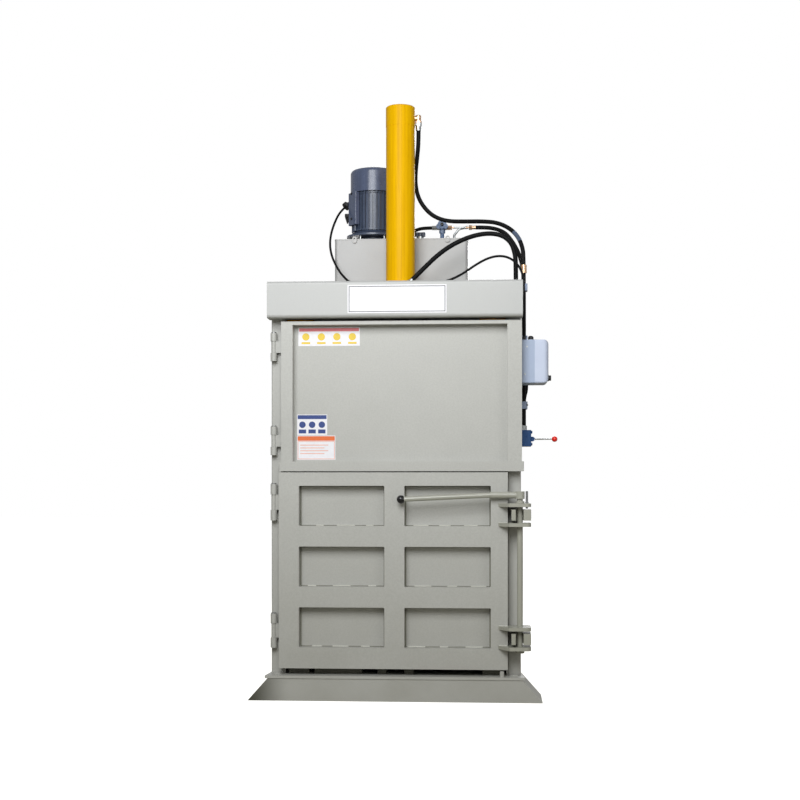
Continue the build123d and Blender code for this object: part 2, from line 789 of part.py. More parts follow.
breather_x = 253.0
breather_y = 280.0
breather_radius = 6.0
with BuildPart() as breather_pipe:
    with BuildLine() as breather_line:
        FilletPolyline(
            (breather_x, breather_y, lid_top),
            (breather_x, breather_y, lid_top + 42),
            (breather_x + 24, breather_y, lid_top + 72),
            (breather_x + 56, breather_y, lid_top + 78),
            radius=(18, 22),
        )
    with BuildSketch(Plane(origin=breather_line.line @ 0, z_dir=breather_line.line % 0)):
        Circle(breather_radius)
    sweep(path=breather_line.line)
    with BuildSketch(Plane(origin=breather_line.line @ 1, z_dir=breather_line.line % 1)):
        Circle(breather_radius + 2)
    extrude(amount=12)
    with BuildSketch(Plane.XY.offset(lid_top)):
        with Locations((breather_x, breather_y)):
            Circle(breather_radius + 5)
    extrude(amount=6)

# Control box on the right post: body, rounded lid and turning knob
box_back_x = half_width
box_body_depth = 63.0
box_lid_depth = 63.0
box_width = 160.0
box_height = 200.0
box_bottom = 1450.0
box_sheet = 4.0
box_edge = 6.0
lid_edge = 22.0
box_front = -half_depth + 2.0
box_y = box_front + box_width / 2
box_z = box_bottom + box_height / 2
box_seam_x = box_back_x + box_body_depth
box_lid_x = box_seam_x + box_lid_depth
motor_cable_size = 11.0
motor_cable_offset = 17.0
motor_cable_setback = 108.0
motor_cable_x = half_width + motor_cable_offset
motor_cable_y = box_front + motor_cable_setback
with BuildPart() as control_box:
    with BuildSketch(Plane.YZ.offset(box_back_x)):
        with Locations((box_y, box_z)):
            RectangleRounded(box_width, box_height, box_edge)
    extrude(amount=box_body_depth)
    with BuildSketch(Plane.YZ.offset(box_back_x + box_sheet)):
        with Locations((box_y, box_z)):
            Rectangle(box_width - 2 * box_sheet, box_height - 2 * box_sheet)
    extrude(amount=box_body_depth, mode=Mode.SUBTRACT)

knob_radius = 15.5
knob_z = box_bottom + 28.5
knob_shaft_radius = 4.0
knob_height = 14.0
knob_gap = 0.5
with BuildPart() as control_box_lid:
    with BuildSketch(Plane.YZ.offset(box_seam_x)):
        with Locations((box_y, box_z)):
            RectangleRounded(box_width, box_height, box_edge + 2)
    extrude(amount=box_lid_depth)
    fillet(control_box_lid.edges().group_by(Axis.X)[-1], radius=lid_edge)
    with BuildSketch(Plane.YZ.offset(box_seam_x)):
        with Locations((box_y, box_z)):
            Rectangle(box_width - 4 * box_sheet, box_height - 4 * box_sheet)
    extrude(amount=box_lid_depth - 3 * box_sheet, mode=Mode.SUBTRACT)
    with BuildSketch(Plane.YZ.offset(box_seam_x)):
        with Locations((box_y, knob_z)):
            Circle(knob_shaft_radius + slide_clearance)
    extrude(amount=box_lid_depth, mode=Mode.SUBTRACT)

with BuildPart() as control_knob:
    with BuildSketch(Plane.YZ.offset(box_lid_x + knob_gap)):
        with Locations((box_y, knob_z)):
            Circle(knob_radius)
    extrude(amount=3)
    with BuildSketch(Plane.YZ.offset(box_lid_x + knob_gap + 3)):
        with Locations((box_y, knob_z)):
            Circle(knob_radius - 3)
            Rectangle(2 * knob_radius - 2, 8)
    extrude(amount=knob_height - 3)
    with BuildSketch(Plane.YZ.offset(box_lid_x - 3.5 * box_sheet)):
        with Locations((box_y, knob_z)):
            Circle(knob_shaft_radius)
    extrude(amount=3.5 * box_sheet + knob_gap)

# Service plates behind the right front post: they carry the control box, the valve and the hoses
service_thick = 6.0
upper_plate_bottom = 1440.0
upper_plate_height = 250.0
upper_plate_depth = 156.0
lower_plate_bottom = 1140.0
lower_plate_height = 260.0
lower_plate_depth = 200.0
with BuildPart() as service_plates:
    with BuildSketch(Plane.YZ.offset(half_width - service_thick)):
        with Locations((-post_inner_y, upper_plate_bottom)):
            Rectangle(upper_plate_depth, upper_plate_height, align=(Align.MIN, Align.MIN))
        with Locations((-post_inner_y, lower_plate_bottom)):
            Rectangle(lower_plate_depth, lower_plate_height, align=(Align.MIN, Align.MIN))
    extrude(amount=service_thick)

# Hand valve: body on the lower service plate, sprung lever, ball
hose_top_size = 20.5
hose_pressure_size = 20.0
hose_pump_size = 17.0
drop_offset = 17.0
drop_x = half_width + drop_offset
drop_pitch = 26.0
hose_top_setback = 178.0
hose_top_y = -half_depth + hose_top_setback
hose_pressure_y = hose_top_y + drop_pitch
hose_return_y = hose_top_y + 2 * drop_pitch
valve_pitch = 30.0
valve_y = hose_pressure_y
valve_width = 108.0
valve_depth = 51.0
valve_bottom = 1165.0
valve_height = 76.0
valve_top = valve_bottom + valve_height
valve_union_height = 21.0
valve_union_across = 25.0
lever_offset = 58.0
lever_x = half_width + lever_offset
lever_z = 1200.0
lever_hub_radius = 8.0
lever_cheek_radius = 11.0
lever_cheek_thick = 6.0
lever_gap = 0.5
lever_hub_width = 12.0
lever_root_radius = 4.5
lever_tip_radius = 3.0
lever_length = 98.0
lever_end_x = lever_x + lever_length
lever_ball_x = lever_end_x + 6.0
lever_ball_radius = 13.5
valve_face_x = half_width + valve_depth
with BuildPart() as valve_body:
    with BuildSketch(Plane.YZ.offset(half_width)):
        with Locations((valve_y, valve_bottom + valve_height / 2)):
            Rectangle(valve_width, valve_height)
    extrude(amount=valve_depth)
    chamfer(valve_body.edges().filter_by(Axis.Z), length=3)
    with BuildSketch(Plane.YZ.offset(valve_face_x)):
        for plug_z in (valve_bottom + 11, valve_top - 9):
            with Locations((valve_y - valve_pitch, plug_z), (valve_y + valve_pitch, plug_z)):
                Circle(6)
    extrude(amount=6)
    with BuildSketch(Plane.XZ.offset(-(valve_y - lever_hub_width / 2 - lever_gap))):
        with Locations((lever_x, lever_z)):
            Circle(lever_cheek_radius)
            Rectangle(lever_x - valve_face_x, 2 * lever_cheek_radius, align=(Align.MAX, Align.CENTER))
    extrude(amount=lever_cheek_thick)
    with BuildSketch(Plane.XZ.offset(-(valve_y + lever_hub_width / 2 + lever_gap))):
        with Locations((lever_x, lever_z)):
            Circle(lever_cheek_radius)
            Rectangle(lever_x - valve_face_x, 2 * lever_cheek_radius, align=(Align.MAX, Align.CENTER))
    extrude(amount=-lever_cheek_thick)
    with BuildSketch(Plane.YZ.offset(valve_face_x)):
        with Locations((valve_y, lever_z)):
            Rectangle(lever_hub_width + 2 * lever_gap, 2 * lever_cheek_radius + 10)
    extrude(amount=-4, mode=Mode.SUBTRACT)

with BuildPart() as valve_lever:
    with BuildSketch(Plane.XZ.offset(-(valve_y - lever_hub_width / 2))):
        with Locations((lever_x, lever_z)):
            Circle(lever_hub_radius)
    extrude(amount=-lever_hub_width)
    with BuildSketch(Plane.YZ.offset(lever_x)):
        with Locations((valve_y, lever_z)):
            Circle(lever_root_radius)
    with BuildSketch(Plane.YZ.offset(lever_end_x)):
        with Locations((valve_y, lever_z)):
            Circle(lever_tip_radius)
    loft()

with BuildPart() as lever_ball:
    with Locations((lever_ball_x, valve_y, lever_z)):
        Sphere(lever_ball_radius)
    with BuildSketch(Plane.YZ.offset(lever_ball_x - lever_ball_radius - 1)):
        with Locations((valve_y, lever_z)):
            Circle(lever_tip_radius + 0.2)
    extrude(amount=lever_end_x - lever_ball_x + lever_ball_radius + 1, mode=Mode.SUBTRACT)

# Upper door: deep frame, wider rail below, sheet panel lapped behind
hinge_inset = 14.0
hinge_reach = 20.0
hinge_x = -(half_width - hinge_inset)
hinge_y = -(half_depth + hinge_reach)
pin_radius = 8.0
knuckle_radius = 15.0
door_knuckle_radius = 11.5
knuckle_gap = 0.5
leaf_thick = 12.0
outer_share = 0.29
upper_left_inset = 53.4
upper_right_overlap = 3.6
upper_door_left = -(half_width - upper_left_inset)
upper_door_right = half_width + upper_right_overlap
upper_door_bottom = 1047.0
upper_door_top = 1733.0
upper_rail_height = 45.0
upper_rail_proud = 3.0
upper_rail_left = upper_door_left - 9.2
upper_rail_right = upper_door_right + 8.6
upper_stile_left = 53.1
upper_stile_right = 65.9
upper_lip = 16.0
panel_sheet = 4.0
panel_lap = 20.0
back_sheet = 6.0
upper_hinges = ((1122.0, 1253.0), (1555.0, 1684.0))
lower_hinges = ((235.0, 392.0), (820.5, 988.6))
recess_left = upper_door_left + upper_stile_left
recess_right = upper_door_right - upper_stile_right
recess_bottom = upper_door_bottom + upper_rail_height
recess_top = upper_door_top - upper_lip
upper_frame_back = door_back - panel_sheet
with BuildPart() as upper_door_frame:
    with BuildSketch(Plane.XZ.offset(-door_front)):
        with Locations(((upper_door_left + upper_door_right) / 2, (upper_door_bottom + upper_door_top) / 2)):
            Rectangle(upper_door_right - upper_door_left, upper_door_top - upper_door_bottom)
    extrude(amount=-(upper_frame_back - door_front))
    with BuildSketch(Plane.XZ.offset(-(door_front - upper_rail_proud))):
        with Locations(((upper_rail_left + upper_rail_right) / 2, upper_door_bottom + upper_rail_height / 2)):
            Rectangle(upper_rail_right - upper_rail_left, upper_rail_height)
    extrude(amount=-(upper_frame_back - door_front + upper_rail_proud))
    chamfer(upper_door_frame.edges().filter_by(Axis.Z).group_by(Axis.Y)[0], length=2)
    with BuildSketch(Plane.XZ.offset(-(door_front - upper_rail_proud))):
        with Locations(((recess_left + recess_right) / 2, (recess_bottom + recess_top) / 2)):
            Rectangle(recess_right - recess_left, recess_top - recess_bottom)
    extrude(amount=-(upper_frame_back - door_front + upper_rail_proud), mode=Mode.SUBTRACT)
    for low, high in upper_hinges:
        knuckle_low = low + outer_share * (high - low) + knuckle_gap
        knuckle_high = high - outer_share * (high - low) - knuckle_gap
        with BuildSketch(Plane.XY.offset(knuckle_low)):
            with Locations((hinge_x, hinge_y)):
                Circle(door_knuckle_radius)
                Rectangle(upper_door_left - hinge_x + 1, leaf_thick, align=(Align.MIN, Align.CENTER))
            with Locations((hinge_x, hinge_y)):
                Circle(pin_radius + slide_clearance, mode=Mode.SUBTRACT)
        extrude(amount=knuckle_high - knuckle_low)

with BuildPart() as upper_door_panel:
    with BuildSketch(Plane.XZ.offset(-upper_frame_back)):
        with Locations(((recess_left + recess_right) / 2, (recess_bottom + recess_top) / 2)):
            Rectangle(
                recess_right - recess_left + 2 * panel_lap,
                recess_top - recess_bottom + 2 * (upper_lip - 4),
            )
    extrude(amount=-panel_sheet)

# Lower door: heavy frame with six pockets, closed by a back sheet
lower_left_inset = 43.2
lower_right_inset = 60.5
lower_door_left = -(half_width - lower_left_inset)
lower_door_right = half_width - lower_right_inset
lower_door_top = 1042.0
pocket_left_stile = 91.85
pocket_right_stile = 77.15
pocket_middle_rail = 91.3
pocket_height = 184.0
pocket_row_pitch = 278.0
pocket_centre_z = 610.5
pocket_corner = 5.0
pocket_field = lower_door_right - lower_door_left - pocket_left_stile - pocket_right_stile
pocket_width = (pocket_field - pocket_middle_rail) / 2
pocket_column_pitch = pocket_width + pocket_middle_rail
pocket_centre_x = lower_door_left + pocket_left_stile + pocket_field / 2
lower_frame_back = door_back - back_sheet
with BuildPart() as lower_door_frame:
    with BuildSketch(Plane.XZ.offset(-door_front)):
        with Locations(((lower_door_left + lower_door_right) / 2, (lower_door_bottom + lower_door_top) / 2)):
            Rectangle(lower_door_right - lower_door_left, lower_door_top - lower_door_bottom)
        with Locations((pocket_centre_x, pocket_centre_z)):
            with GridLocations(pocket_column_pitch, pocket_row_pitch, 2, 3):
                RectangleRounded(pocket_width, pocket_height, pocket_corner, mode=Mode.SUBTRACT)
    extrude(amount=-(lower_frame_back - door_front))
    for low, high in lower_hinges:
        knuckle_low = low + outer_share * (high - low) + knuckle_gap
        knuckle_high = high - outer_share * (high - low) - knuckle_gap
        with BuildSketch(Plane.XY.offset(knuckle_low)):
            with Locations((hinge_x, hinge_y)):
                Circle(door_knuckle_radius)
                Rectangle(lower_door_left - hinge_x + 1, leaf_thick, align=(Align.MIN, Align.CENTER))
            with Locations((hinge_x, hinge_y)):
                Circle(pin_radius + slide_clearance, mode=Mode.SUBTRACT)
        extrude(amount=knuckle_high - knuckle_low)

with BuildPart() as lower_door_panel:
    with BuildSketch(Plane.XZ.offset(-lower_frame_back)):
        with Locations(((lower_door_left + lower_door_right) / 2, (lower_door_bottom + lower_door_top) / 2)):
            Rectangle(lower_door_right - lower_door_left - 8, lower_door_top - lower_door_bottom - 8)
    extrude(amount=-back_sheet)

# Hinges: outer knuckles welded to the left post, headed pins through all three knuckles
pin_head = 4.0
with BuildPart() as hinge_barrels:
    for low, high in lower_hinges + upper_hinges:
        outer_length = outer_share * (high - low)
        for knuckle_low in (low, high - outer_length):
            with BuildSketch(Plane.XY.offset(knuckle_low)):
                with Locations((hinge_x, hinge_y)):
                    Circle(knuckle_radius)
                    Rectangle(
                        1.5 * knuckle_radius,
                        -half_depth - hinge_y,
                        align=(Align.CENTER, Align.MIN),
                    )
                with Locations((hinge_x, hinge_y)):
                    Circle(pin_radius + slide_clearance, mode=Mode.SUBTRACT)
            extrude(amount=outer_length)

with BuildPart() as hinge_pins:
    for low, high in lower_hinges + upper_hinges:
        with BuildSketch(Plane.XY.offset(low)):
            with Locations((hinge_x, hinge_y)):
                Circle(pin_radius)
        extrude(amount=high - low)
        with BuildSketch(Plane.XY.offset(high)):
            with Locations((hinge_x, hinge_y)):
                Circle(pin_radius + 4)
        extrude(amount=pin_head)

# Door lock: forks on the right post, lugs on the lower door, the rod through both, its handle and lock pin
lock_inset = 6.0
lock_reach = 86.0
lock_x = half_width - lock_inset
lock_y = -(half_depth + lock_reach)
lock_rod_radius = 13.0
fork_levels = (292.5, 849.5)
fork_height = 49.0
fork_front = lock_y - 49.0
fork_left = lock_x - 39.0
fork_right = lock_x + 49.0
fork_slot_left = lock_x - 19.0
fork_slot_right = lock_x + 15.0
fork_slot_floor = lock_y + 17.0
fork_edge = 4.0
lug_thick = 16.0
lug_offset = 52.5
lug_front = lock_y - 52.0
lug_left = lower_door_right - 42.5
lug_nose_left = lock_x - 48.0
lug_corner = 22.0
lug_post_gap = 6.0
lug_bore = lock_rod_radius + slide_clearance
lock_pin_x = lock_x + 31.0
lock_pin_radius = 5.5
lock_pin_rise = 55.0
lock_pin_dip = 8.0
rod_low = 226.0
rod_high = 952.0
collar_radius = 20.0
collar_height = 9.0
rod_nut_radius = 20.0
rod_fit = 0.05
lug_levels = []
for level in fork_levels:
    lug_levels.append(level - lug_offset)
    lug_levels.append(level + lug_offset - lug_thick)
lug_top = max(lug_levels) + lug_thick
with BuildPart() as lock_forks:
    for level in fork_levels:
        with BuildSketch(Plane.XY.offset(level - fork_height / 2)) as fork_profile:
            with BuildLine():
                Polyline(
                    (fork_left, -half_depth),
                    (fork_left, fork_front),
                    (fork_slot_left, fork_front),
                    (fork_slot_left, fork_slot_floor),
                    (fork_slot_right, fork_slot_floor),
                    (fork_slot_right, fork_front),
                    (fork_right, fork_front),
                    (fork_right, -half_depth),
                    close=True,
                )
            make_face()
            fillet(fork_profile.vertices().group_by(Axis.Y)[0], radius=fork_edge)
        extrude(amount=fork_height)

with BuildPart() as lock_lugs:
    for level in lug_levels:
        with BuildSketch(Plane.XY.offset(level)) as lug_profile:
            with BuildLine():
                Polyline(
                    (lug_left, door_front),
                    (lug_nose_left, lug_front),
                    (fork_right, lug_front),
                    (fork_right, -half_depth - lug_post_gap),
                    (lower_door_right, -half_depth - lug_post_gap),
                    (lower_door_right, door_front),
                    close=True,
                )
            make_face()
            fillet(lug_profile.vertices().group_by(Axis.X)[-1], radius=lug_corner)
            with Locations((lock_x, lock_y)):
                Circle(lug_bore, mode=Mode.SUBTRACT)
        extrude(amount=lug_thick)
    with BuildSketch(Plane.XY.offset(max(lug_levels))):
        with Locations((lock_pin_x, lock_y)):
            Circle(lock_pin_radius + slide_clearance)
    extrude(amount=lug_thick, mode=Mode.SUBTRACT)

with BuildPart() as lock_rod:
    with BuildSketch(Plane.XY.offset(rod_low)):
        with Locations((lock_x, lock_y)):
            Circle(lock_rod_radius)
    extrude(amount=rod_high - rod_low)
    chamfer(lock_rod.edges().group_by(Axis.Z)[-1], length=2)
    with BuildSketch(Plane.XY.offset(lug_top + slide_clearance)):
        with Locations((lock_x, lock_y)):
            Circle(collar_radius)
            Circle(lock_rod_radius + rod_fit, mode=Mode.SUBTRACT)
    extrude(amount=collar_height)
    with BuildSketch(Plane.XY.offset(rod_low)):
        with Locations((lock_x, lock_y)):
            RegularPolygon(rod_nut_radius, 6)
            Circle(lock_rod_radius + rod_fit, mode=Mode.SUBTRACT)
    extrude(amount=min(lug_levels) - slide_clearance - rod_low)

handle_z = 938.8
handle_drop = 18.8
handle_hub_radius = 21.0
handle_hub_height = 34.0
socket_radius = 15.0
socket_end_x = lock_x - 135.0
handle_bar_radius = 12.0
handle_end_x = lock_x - 524.0
handle_end_y = lock_y - 10.0
handle_ball_radius = 19.0
handle_root = Vector(lock_x - lock_rod_radius - 1, lock_y, handle_z)
handle_bend = Vector(socket_end_x, lock_y, handle_z)
handle_end = Vector(handle_end_x, handle_end_y, handle_z - handle_drop)
handle_way = (handle_end - handle_bend).normalized()
with BuildPart() as lock_handle:
    with BuildSketch(Plane.XY.offset(handle_z - handle_hub_height / 2)):
        with Locations((lock_x, lock_y)):
            Circle(handle_hub_radius)
    extrude(amount=handle_hub_height)
    with BuildSketch(Plane(origin=handle_root, z_dir=(-1, 0, 0))):
        Circle(socket_radius)
    extrude(amount=handle_root.X - socket_end_x)
    with BuildSketch(Plane(origin=handle_bend - handle_way * 8, z_dir=handle_way)):
        Circle(handle_bar_radius)
    extrude(amount=(handle_end - handle_bend).length + 8)
    with BuildSketch(Plane.XY.offset(handle_z - handle_hub_height / 2)):
        with Locations((lock_x, lock_y)):
            Circle(lock_rod_radius + rod_fit)
    extrude(amount=handle_hub_height, mode=Mode.SUBTRACT)

ball_bore_depth = 5.0
ball_centre = handle_end + handle_way * (handle_ball_radius - ball_bore_depth)
ball_plane = Plane(origin=ball_centre, x_dir=handle_way, z_dir=handle_way.cross(Vector(0, 0, 1)))
with BuildPart() as handle_ball:
    with BuildSketch(ball_plane):
        Circle(handle_ball_radius)
        Rectangle(
            2 * handle_ball_radius,
            handle_ball_radius,
            align=(Align.CENTER, Align.MAX),
            mode=Mode.SUBTRACT,
        )
        with Locations((ball_bore_depth - handle_ball_radius, 0)):
            Rectangle(
                handle_ball_radius,
                handle_bar_radius + 0.1,
                align=(Align.MAX, Align.MIN),
                mode=Mode.SUBTRACT,
            )
    revolve(axis=Axis(ball_centre, handle_way))

with BuildPart() as lock_pin:
    with BuildSketch(Plane.XY.offset(max(lug_levels) - lock_pin_dip)):
        with Locations((lock_pin_x, lock_y)):
            Circle(lock_pin_radius)
    extrude(amount=lock_pin_dip + lug_thick + lock_pin_rise)
    chamfer(lock_pin.edges().group_by(Axis.Z)[-1], length=1.5)
    with BuildSketch(Plane.XY.offset(lug_top + slide_clearance)):
        with Locations((lock_pin_x, lock_y)):
            Circle(lock_pin_radius + 2.5)
    extrude(amount=4)

# Hoses and the motor cable. Each route is hand-chosen points, with bends as wide as their runs allow.
elbow_x = 87.5
elbow_radius = 15.0
ferrule_radius = 13.0
ferrule_height = 22.0
union_across = 27.0
union_height = 24.0
top_hose_start = top_port_z - elbow_radius - union_height - ferrule_height
low_stub_radius = 11.0
low_port_reach = 96.0
low_outlet_way = Vector(0.7216, -0.03, 0.692).normalized()
low_outlet_length = 14.0
low_elbow = low_port_way * low_port_reach + Vector(0, 0, low_port_z)
low_hose_start = low_elbow + low_outlet_way * low_outlet_length
pressure_start_x = 362.0
pump_union_x = 20.0
pump_union_y = 205.0
pump_union_height = 34.0
pump_outlet_way = Vector(0.9, -0.1, 0.42).normalized()
pump_outlet_length = 16.0
pump_elbow = Vector(pump_union_x, pump_union_y, lid_top + pump_union_height)
pump_hose_start = pump_elbow + pump_outlet_way * pump_outlet_length
pump_hose_end_x = 145.0
union_top = valve_top + valve_union_height
splay_top = union_top + 63
splay_low = union_top + 30

terminal_gland_z = 2392.0
terminal_gland_reach = 26.0
gland_root_radius = 10.0
gland_root_length = 9.0
terminal_nut_radius = 21.0
terminal_nut_height = 17.0
terminal_nut_way = Vector(-0.66, -0.33, -0.675).normalized()
gland_seat = (
    motor_base
    + terminal_way * (terminal_reach - gland_root_radius - 1)
    + terminal_side * (terminal_width / 2)
)
gland_root = Vector(gland_seat.X, gland_seat.Y, terminal_gland_z)
gland_knee = gland_root + terminal_side * terminal_gland_reach
cable_start = gland_knee + terminal_nut_way * terminal_nut_height
box_gland_height = 24.0
cable_end_z = box_bottom + box_height + box_gland_height

hose_top_points = [
    (elbow_x, 0, top_hose_start),
    (elbow_x, 0, 2640),
    (80, 26, 2578),
    (71, 48, 2514),
    (69, 61, 2452),
    (81, 67, 2392),
    (112, 67, 2338),
    (160, 58, 2292),
    (226, 42, 2266),
    (312, 14, 2259),
    (396, -18, 2253),
    (466, -50, 2241),
    (526, -88, 2207),
    (566, -124, 2160),
    (585, -152, 2108),
    (drop_x, hose_top_y, 2056),
    (drop_x, hose_top_y, splay_top),
    (drop_x, valve_y - valve_pitch, splay_low),
    (drop_x, valve_y - valve_pitch, union_top),
]
hose_bottom_points = [
    tuple(low_hose_start),
    tuple(low_hose_start + low_outlet_way * 72),
    (178, -91, 2077),
    (250, -99, 2127),
    (334, -106, 2164),
    (418, -112, 2180),
    (488, -118, 2170),
    (534, hose_bottom_y, 2134),
    (553, hose_bottom_y, 2074),
    (hose_bottom_x, hose_bottom_y, 2010),
    (hose_bottom_x, hose_bottom_y, 1612),
    (572, hose_bottom_y, 1548),
    (598, hose_bottom_y, 1492),
    (605, hose_bottom_y, 1440),
    (drop_x, hose_return_y, 1393),
    (drop_x, hose_return_y, splay_top),
    (drop_x, valve_y + valve_pitch, splay_low),
    (drop_x, valve_y + valve_pitch, union_top),
]
hose_pressure_points = [
    (pressure_start_x, relief_y, pressure_z),
    (412, relief_y, pressure_z),
    (458, 172, 2251),
    (491, 140, 2233),
    (513, 101, 2211),
    (534, 46, 2176),
    (556, -20, 2128),
    (574, -76, 2078),
    (588, -118, 2016),
    (drop_x, hose_pressure_y, 1950),
    (drop_x, hose_pressure_y, union_top),
]
hose_pump_points = [
    tuple(pump_hose_start),
    tuple(pump_hose_start + pump_outlet_way * 42),
    (110, relief_y, pressure_z),
    (pump_hose_end_x, relief_y, pressure_z),
]
motor_cable_points = [
    tuple(cable_start),
    tuple(cable_start + terminal_nut_way * 40),
    (-344, 205, 2298),
    (-359, 172, 2236),
    (-360, 128, 2172),
    (-345, 78, 2110),
    (-317, 24, 2052),
    (-283, -36, 2000),
    (-240, -92, 1955),
    (-184, -146, 1924),
    (-108, -196, 1920),
    (-20, -228, 1921),
    (78, -246, 1920),
    (170, -250, 1923),
    (246, -242, 1938),
    (308, -236, 1970),
    (366, -238, 2010),
    (424, -242, 2041),
    (480, -242, 2052),
    (530, -240, 2040),
    (568, -240, 2004),
    (588, -240, 1958),
    (motor_cable_x, motor_cable_y, 1900),
    (motor_cable_x, motor_cable_y, cable_end_z),
]


# The widest bend at each point: it uses 0.45 of the shorter run on either side
def bend_radii(points):
    corners = [Vector(*point) for point in points]
    radii = []
    for before, corner, after in zip(corners, corners[1:], corners[2:]):
        run_in = corner - before
        run_out = after - corner
        shorter = min(run_in.length, run_out.length)
        half_turn = radians(run_in.get_angle(run_out)) / 2
        radii.append(0.45 * shorter / tan(half_turn))
    return radii


with BuildPart() as hose_top:
    with BuildLine() as hose_top_line:
        FilletPolyline(*hose_top_points, radius=bend_radii(hose_top_points))
    with BuildSketch(Plane(origin=hose_top_line.line @ 0, z_dir=hose_top_line.line % 0)):
        Circle(hose_top_size / 2)
    sweep(path=hose_top_line.line)

with BuildPart() as hose_bottom:
    with BuildLine() as hose_bottom_line:
        FilletPolyline(*hose_bottom_points, radius=bend_radii(hose_bottom_points))
    with BuildSketch(Plane(origin=hose_bottom_line.line @ 0, z_dir=hose_bottom_line.line % 0)):
        Circle(hose_bottom_size / 2)
    sweep(path=hose_bottom_line.line)

with BuildPart() as hose_pressure:
    with BuildLine() as hose_pressure_line:
        FilletPolyline(*hose_pressure_points, radius=bend_radii(hose_pressure_points))
    with BuildSketch(Plane(origin=hose_pressure_line.line @ 0, z_dir=hose_pressure_line.line % 0)):
        Circle(hose_pressure_size / 2)
    sweep(path=hose_pressure_line.line)

with BuildPart() as hose_pump:
    with BuildLine() as hose_pump_line:
        FilletPolyline(*hose_pump_points, radius=bend_radii(hose_pump_points))
    with BuildSketch(Plane(origin=hose_pump_line.line @ 0, z_dir=hose_pump_line.line % 0)):
        Circle(hose_pump_size / 2)
    sweep(path=hose_pump_line.line)

with BuildPart() as motor_cable:
    with BuildLine() as motor_cable_line:
        FilletPolyline(*motor_cable_points, radius=bend_radii(motor_cable_points))
    with BuildSketch(Plane(origin=motor_cable_line.line @ 0, z_dir=motor_cable_line.line % 0)):
        Circle(motor_cable_size / 2)
    sweep(path=motor_cable_line.line)

for route_name, route, line, tube, size in (
    ("hose_top", hose_top_points, hose_top_line, hose_top, hose_top_size),
    ("hose_bottom", hose_bottom_points, hose_bottom_line, hose_bottom, hose_bottom_size),
    ("hose_pressure", hose_pressure_points, hose_pressure_line, hose_pressure, hose_pressure_size),
    ("hose_pump", hose_pump_points, hose_pump_line, hose_pump, hose_pump_size),
    ("motor_cable", motor_cable_points, motor_cable_line, motor_cable, motor_cable_size),
):
    route_length = sum(edge.length for edge in line.edges())
    share = tube.part.volume / (pi * size**2 / 4 * route_length)
    print(route_name, "length", round(route_length), "volume share", round(share, 4))
    print("  radii", [round(radius) for radius in bend_radii(route)])

# Hose fittings: port elbows, pump union, relief nuts, pipe, brass union, joiner, valve unions
joiner_z = 1979.0
joiner_height = 38.0
joiner_radius = 14.0
pipe_radius = 4.0
pipe_start_x = 244.0
pipe_end_x = 328.0
small_nut_across = 20.0
with BuildPart() as top_elbow:
    with BuildSketch(Plane.YZ.offset(tube_inner)):
        with Locations((0, top_port_z)):
            Circle(elbow_radius - 2)
    extrude(amount=elbow_x - tube_inner)
    with BuildSketch(Plane.XY.offset(top_port_z - elbow_radius)):
        with Locations((elbow_x, 0)):
            Circle(elbow_radius - 2)
    extrude(amount=2 * elbow_radius)
    fillet(top_elbow.edges().group_by(Axis.Z)[-1], radius=5)
    with BuildSketch(Plane.XY.offset(top_port_z - elbow_radius - union_height)):
        with Locations((elbow_x, 0)):
            RegularPolygon(union_across / 2, 6, major_radius=False)
    extrude(amount=union_height)
    with BuildSketch(Plane.XY.offset(top_hose_start)):
        with Locations((elbow_x, 0)):
            Circle(ferrule_radius)
    extrude(amount=ferrule_height)
    with BuildSketch(Plane.XY.offset(tube_top)):
        Circle(cap_radius + 0.05)
    extrude(amount=cap_height, mode=Mode.SUBTRACT)
    with BuildSketch(Plane.XY.offset(top_hose_start)):
        Circle(tube_outer + 1)
    extrude(amount=tube_top - top_hose_start, mode=Mode.SUBTRACT)

with BuildPart() as low_port_elbow:
    with BuildSketch(Plane(origin=(0, 0, low_port_z), z_dir=low_port_way)):
        Circle(low_stub_radius)
    extrude(amount=low_port_reach)
    with Locations(low_elbow):
        Sphere(low_stub_radius)
    with BuildSketch(Plane(origin=low_elbow, z_dir=low_outlet_way)):
        Circle(low_stub_radius)
    extrude(amount=low_outlet_length)
    with BuildSketch(Plane.XY.offset(head_top)):
        Circle(tube_outer + 0.05)
    extrude(amount=4 * low_port_height, mode=Mode.SUBTRACT)
    add(cylinder_tube.part, mode=Mode.SUBTRACT)

with BuildPart() as pump_union:
    with BuildSketch(Plane.XY.offset(lid_top)):
        with Locations((pump_union_x, pump_union_y)):
            RegularPolygon(union_across / 2, 6, major_radius=False)
    extrude(amount=14)
    with BuildSketch(Plane.XY.offset(lid_top)):
        with Locations((pump_union_x, pump_union_y)):
            Circle(10)
    extrude(amount=pump_union_height)
    with Locations(pump_elbow):
        Sphere(10)
    with BuildSketch(Plane(origin=pump_elbow, z_dir=pump_outlet_way)):
        Circle(10)
    extrude(amount=pump_outlet_length)

with BuildPart() as relief_unions:
    with BuildSketch(Plane.YZ.offset(pump_hose_end_x)):
        with Locations((relief_y, pressure_z)):
            RegularPolygon(small_nut_across / 2, 6, major_radius=False)
    extrude(amount=relief_x - pump_hose_end_x)
    with BuildSketch(Plane.YZ.offset(relief_x)):
        with Locations((relief_y, pressure_z)):
            RegularPolygon(small_nut_across / 2, 6, major_radius=False)
    extrude(amount=pipe_start_x - relief_x)
    add(relief_block.part, mode=Mode.SUBTRACT)

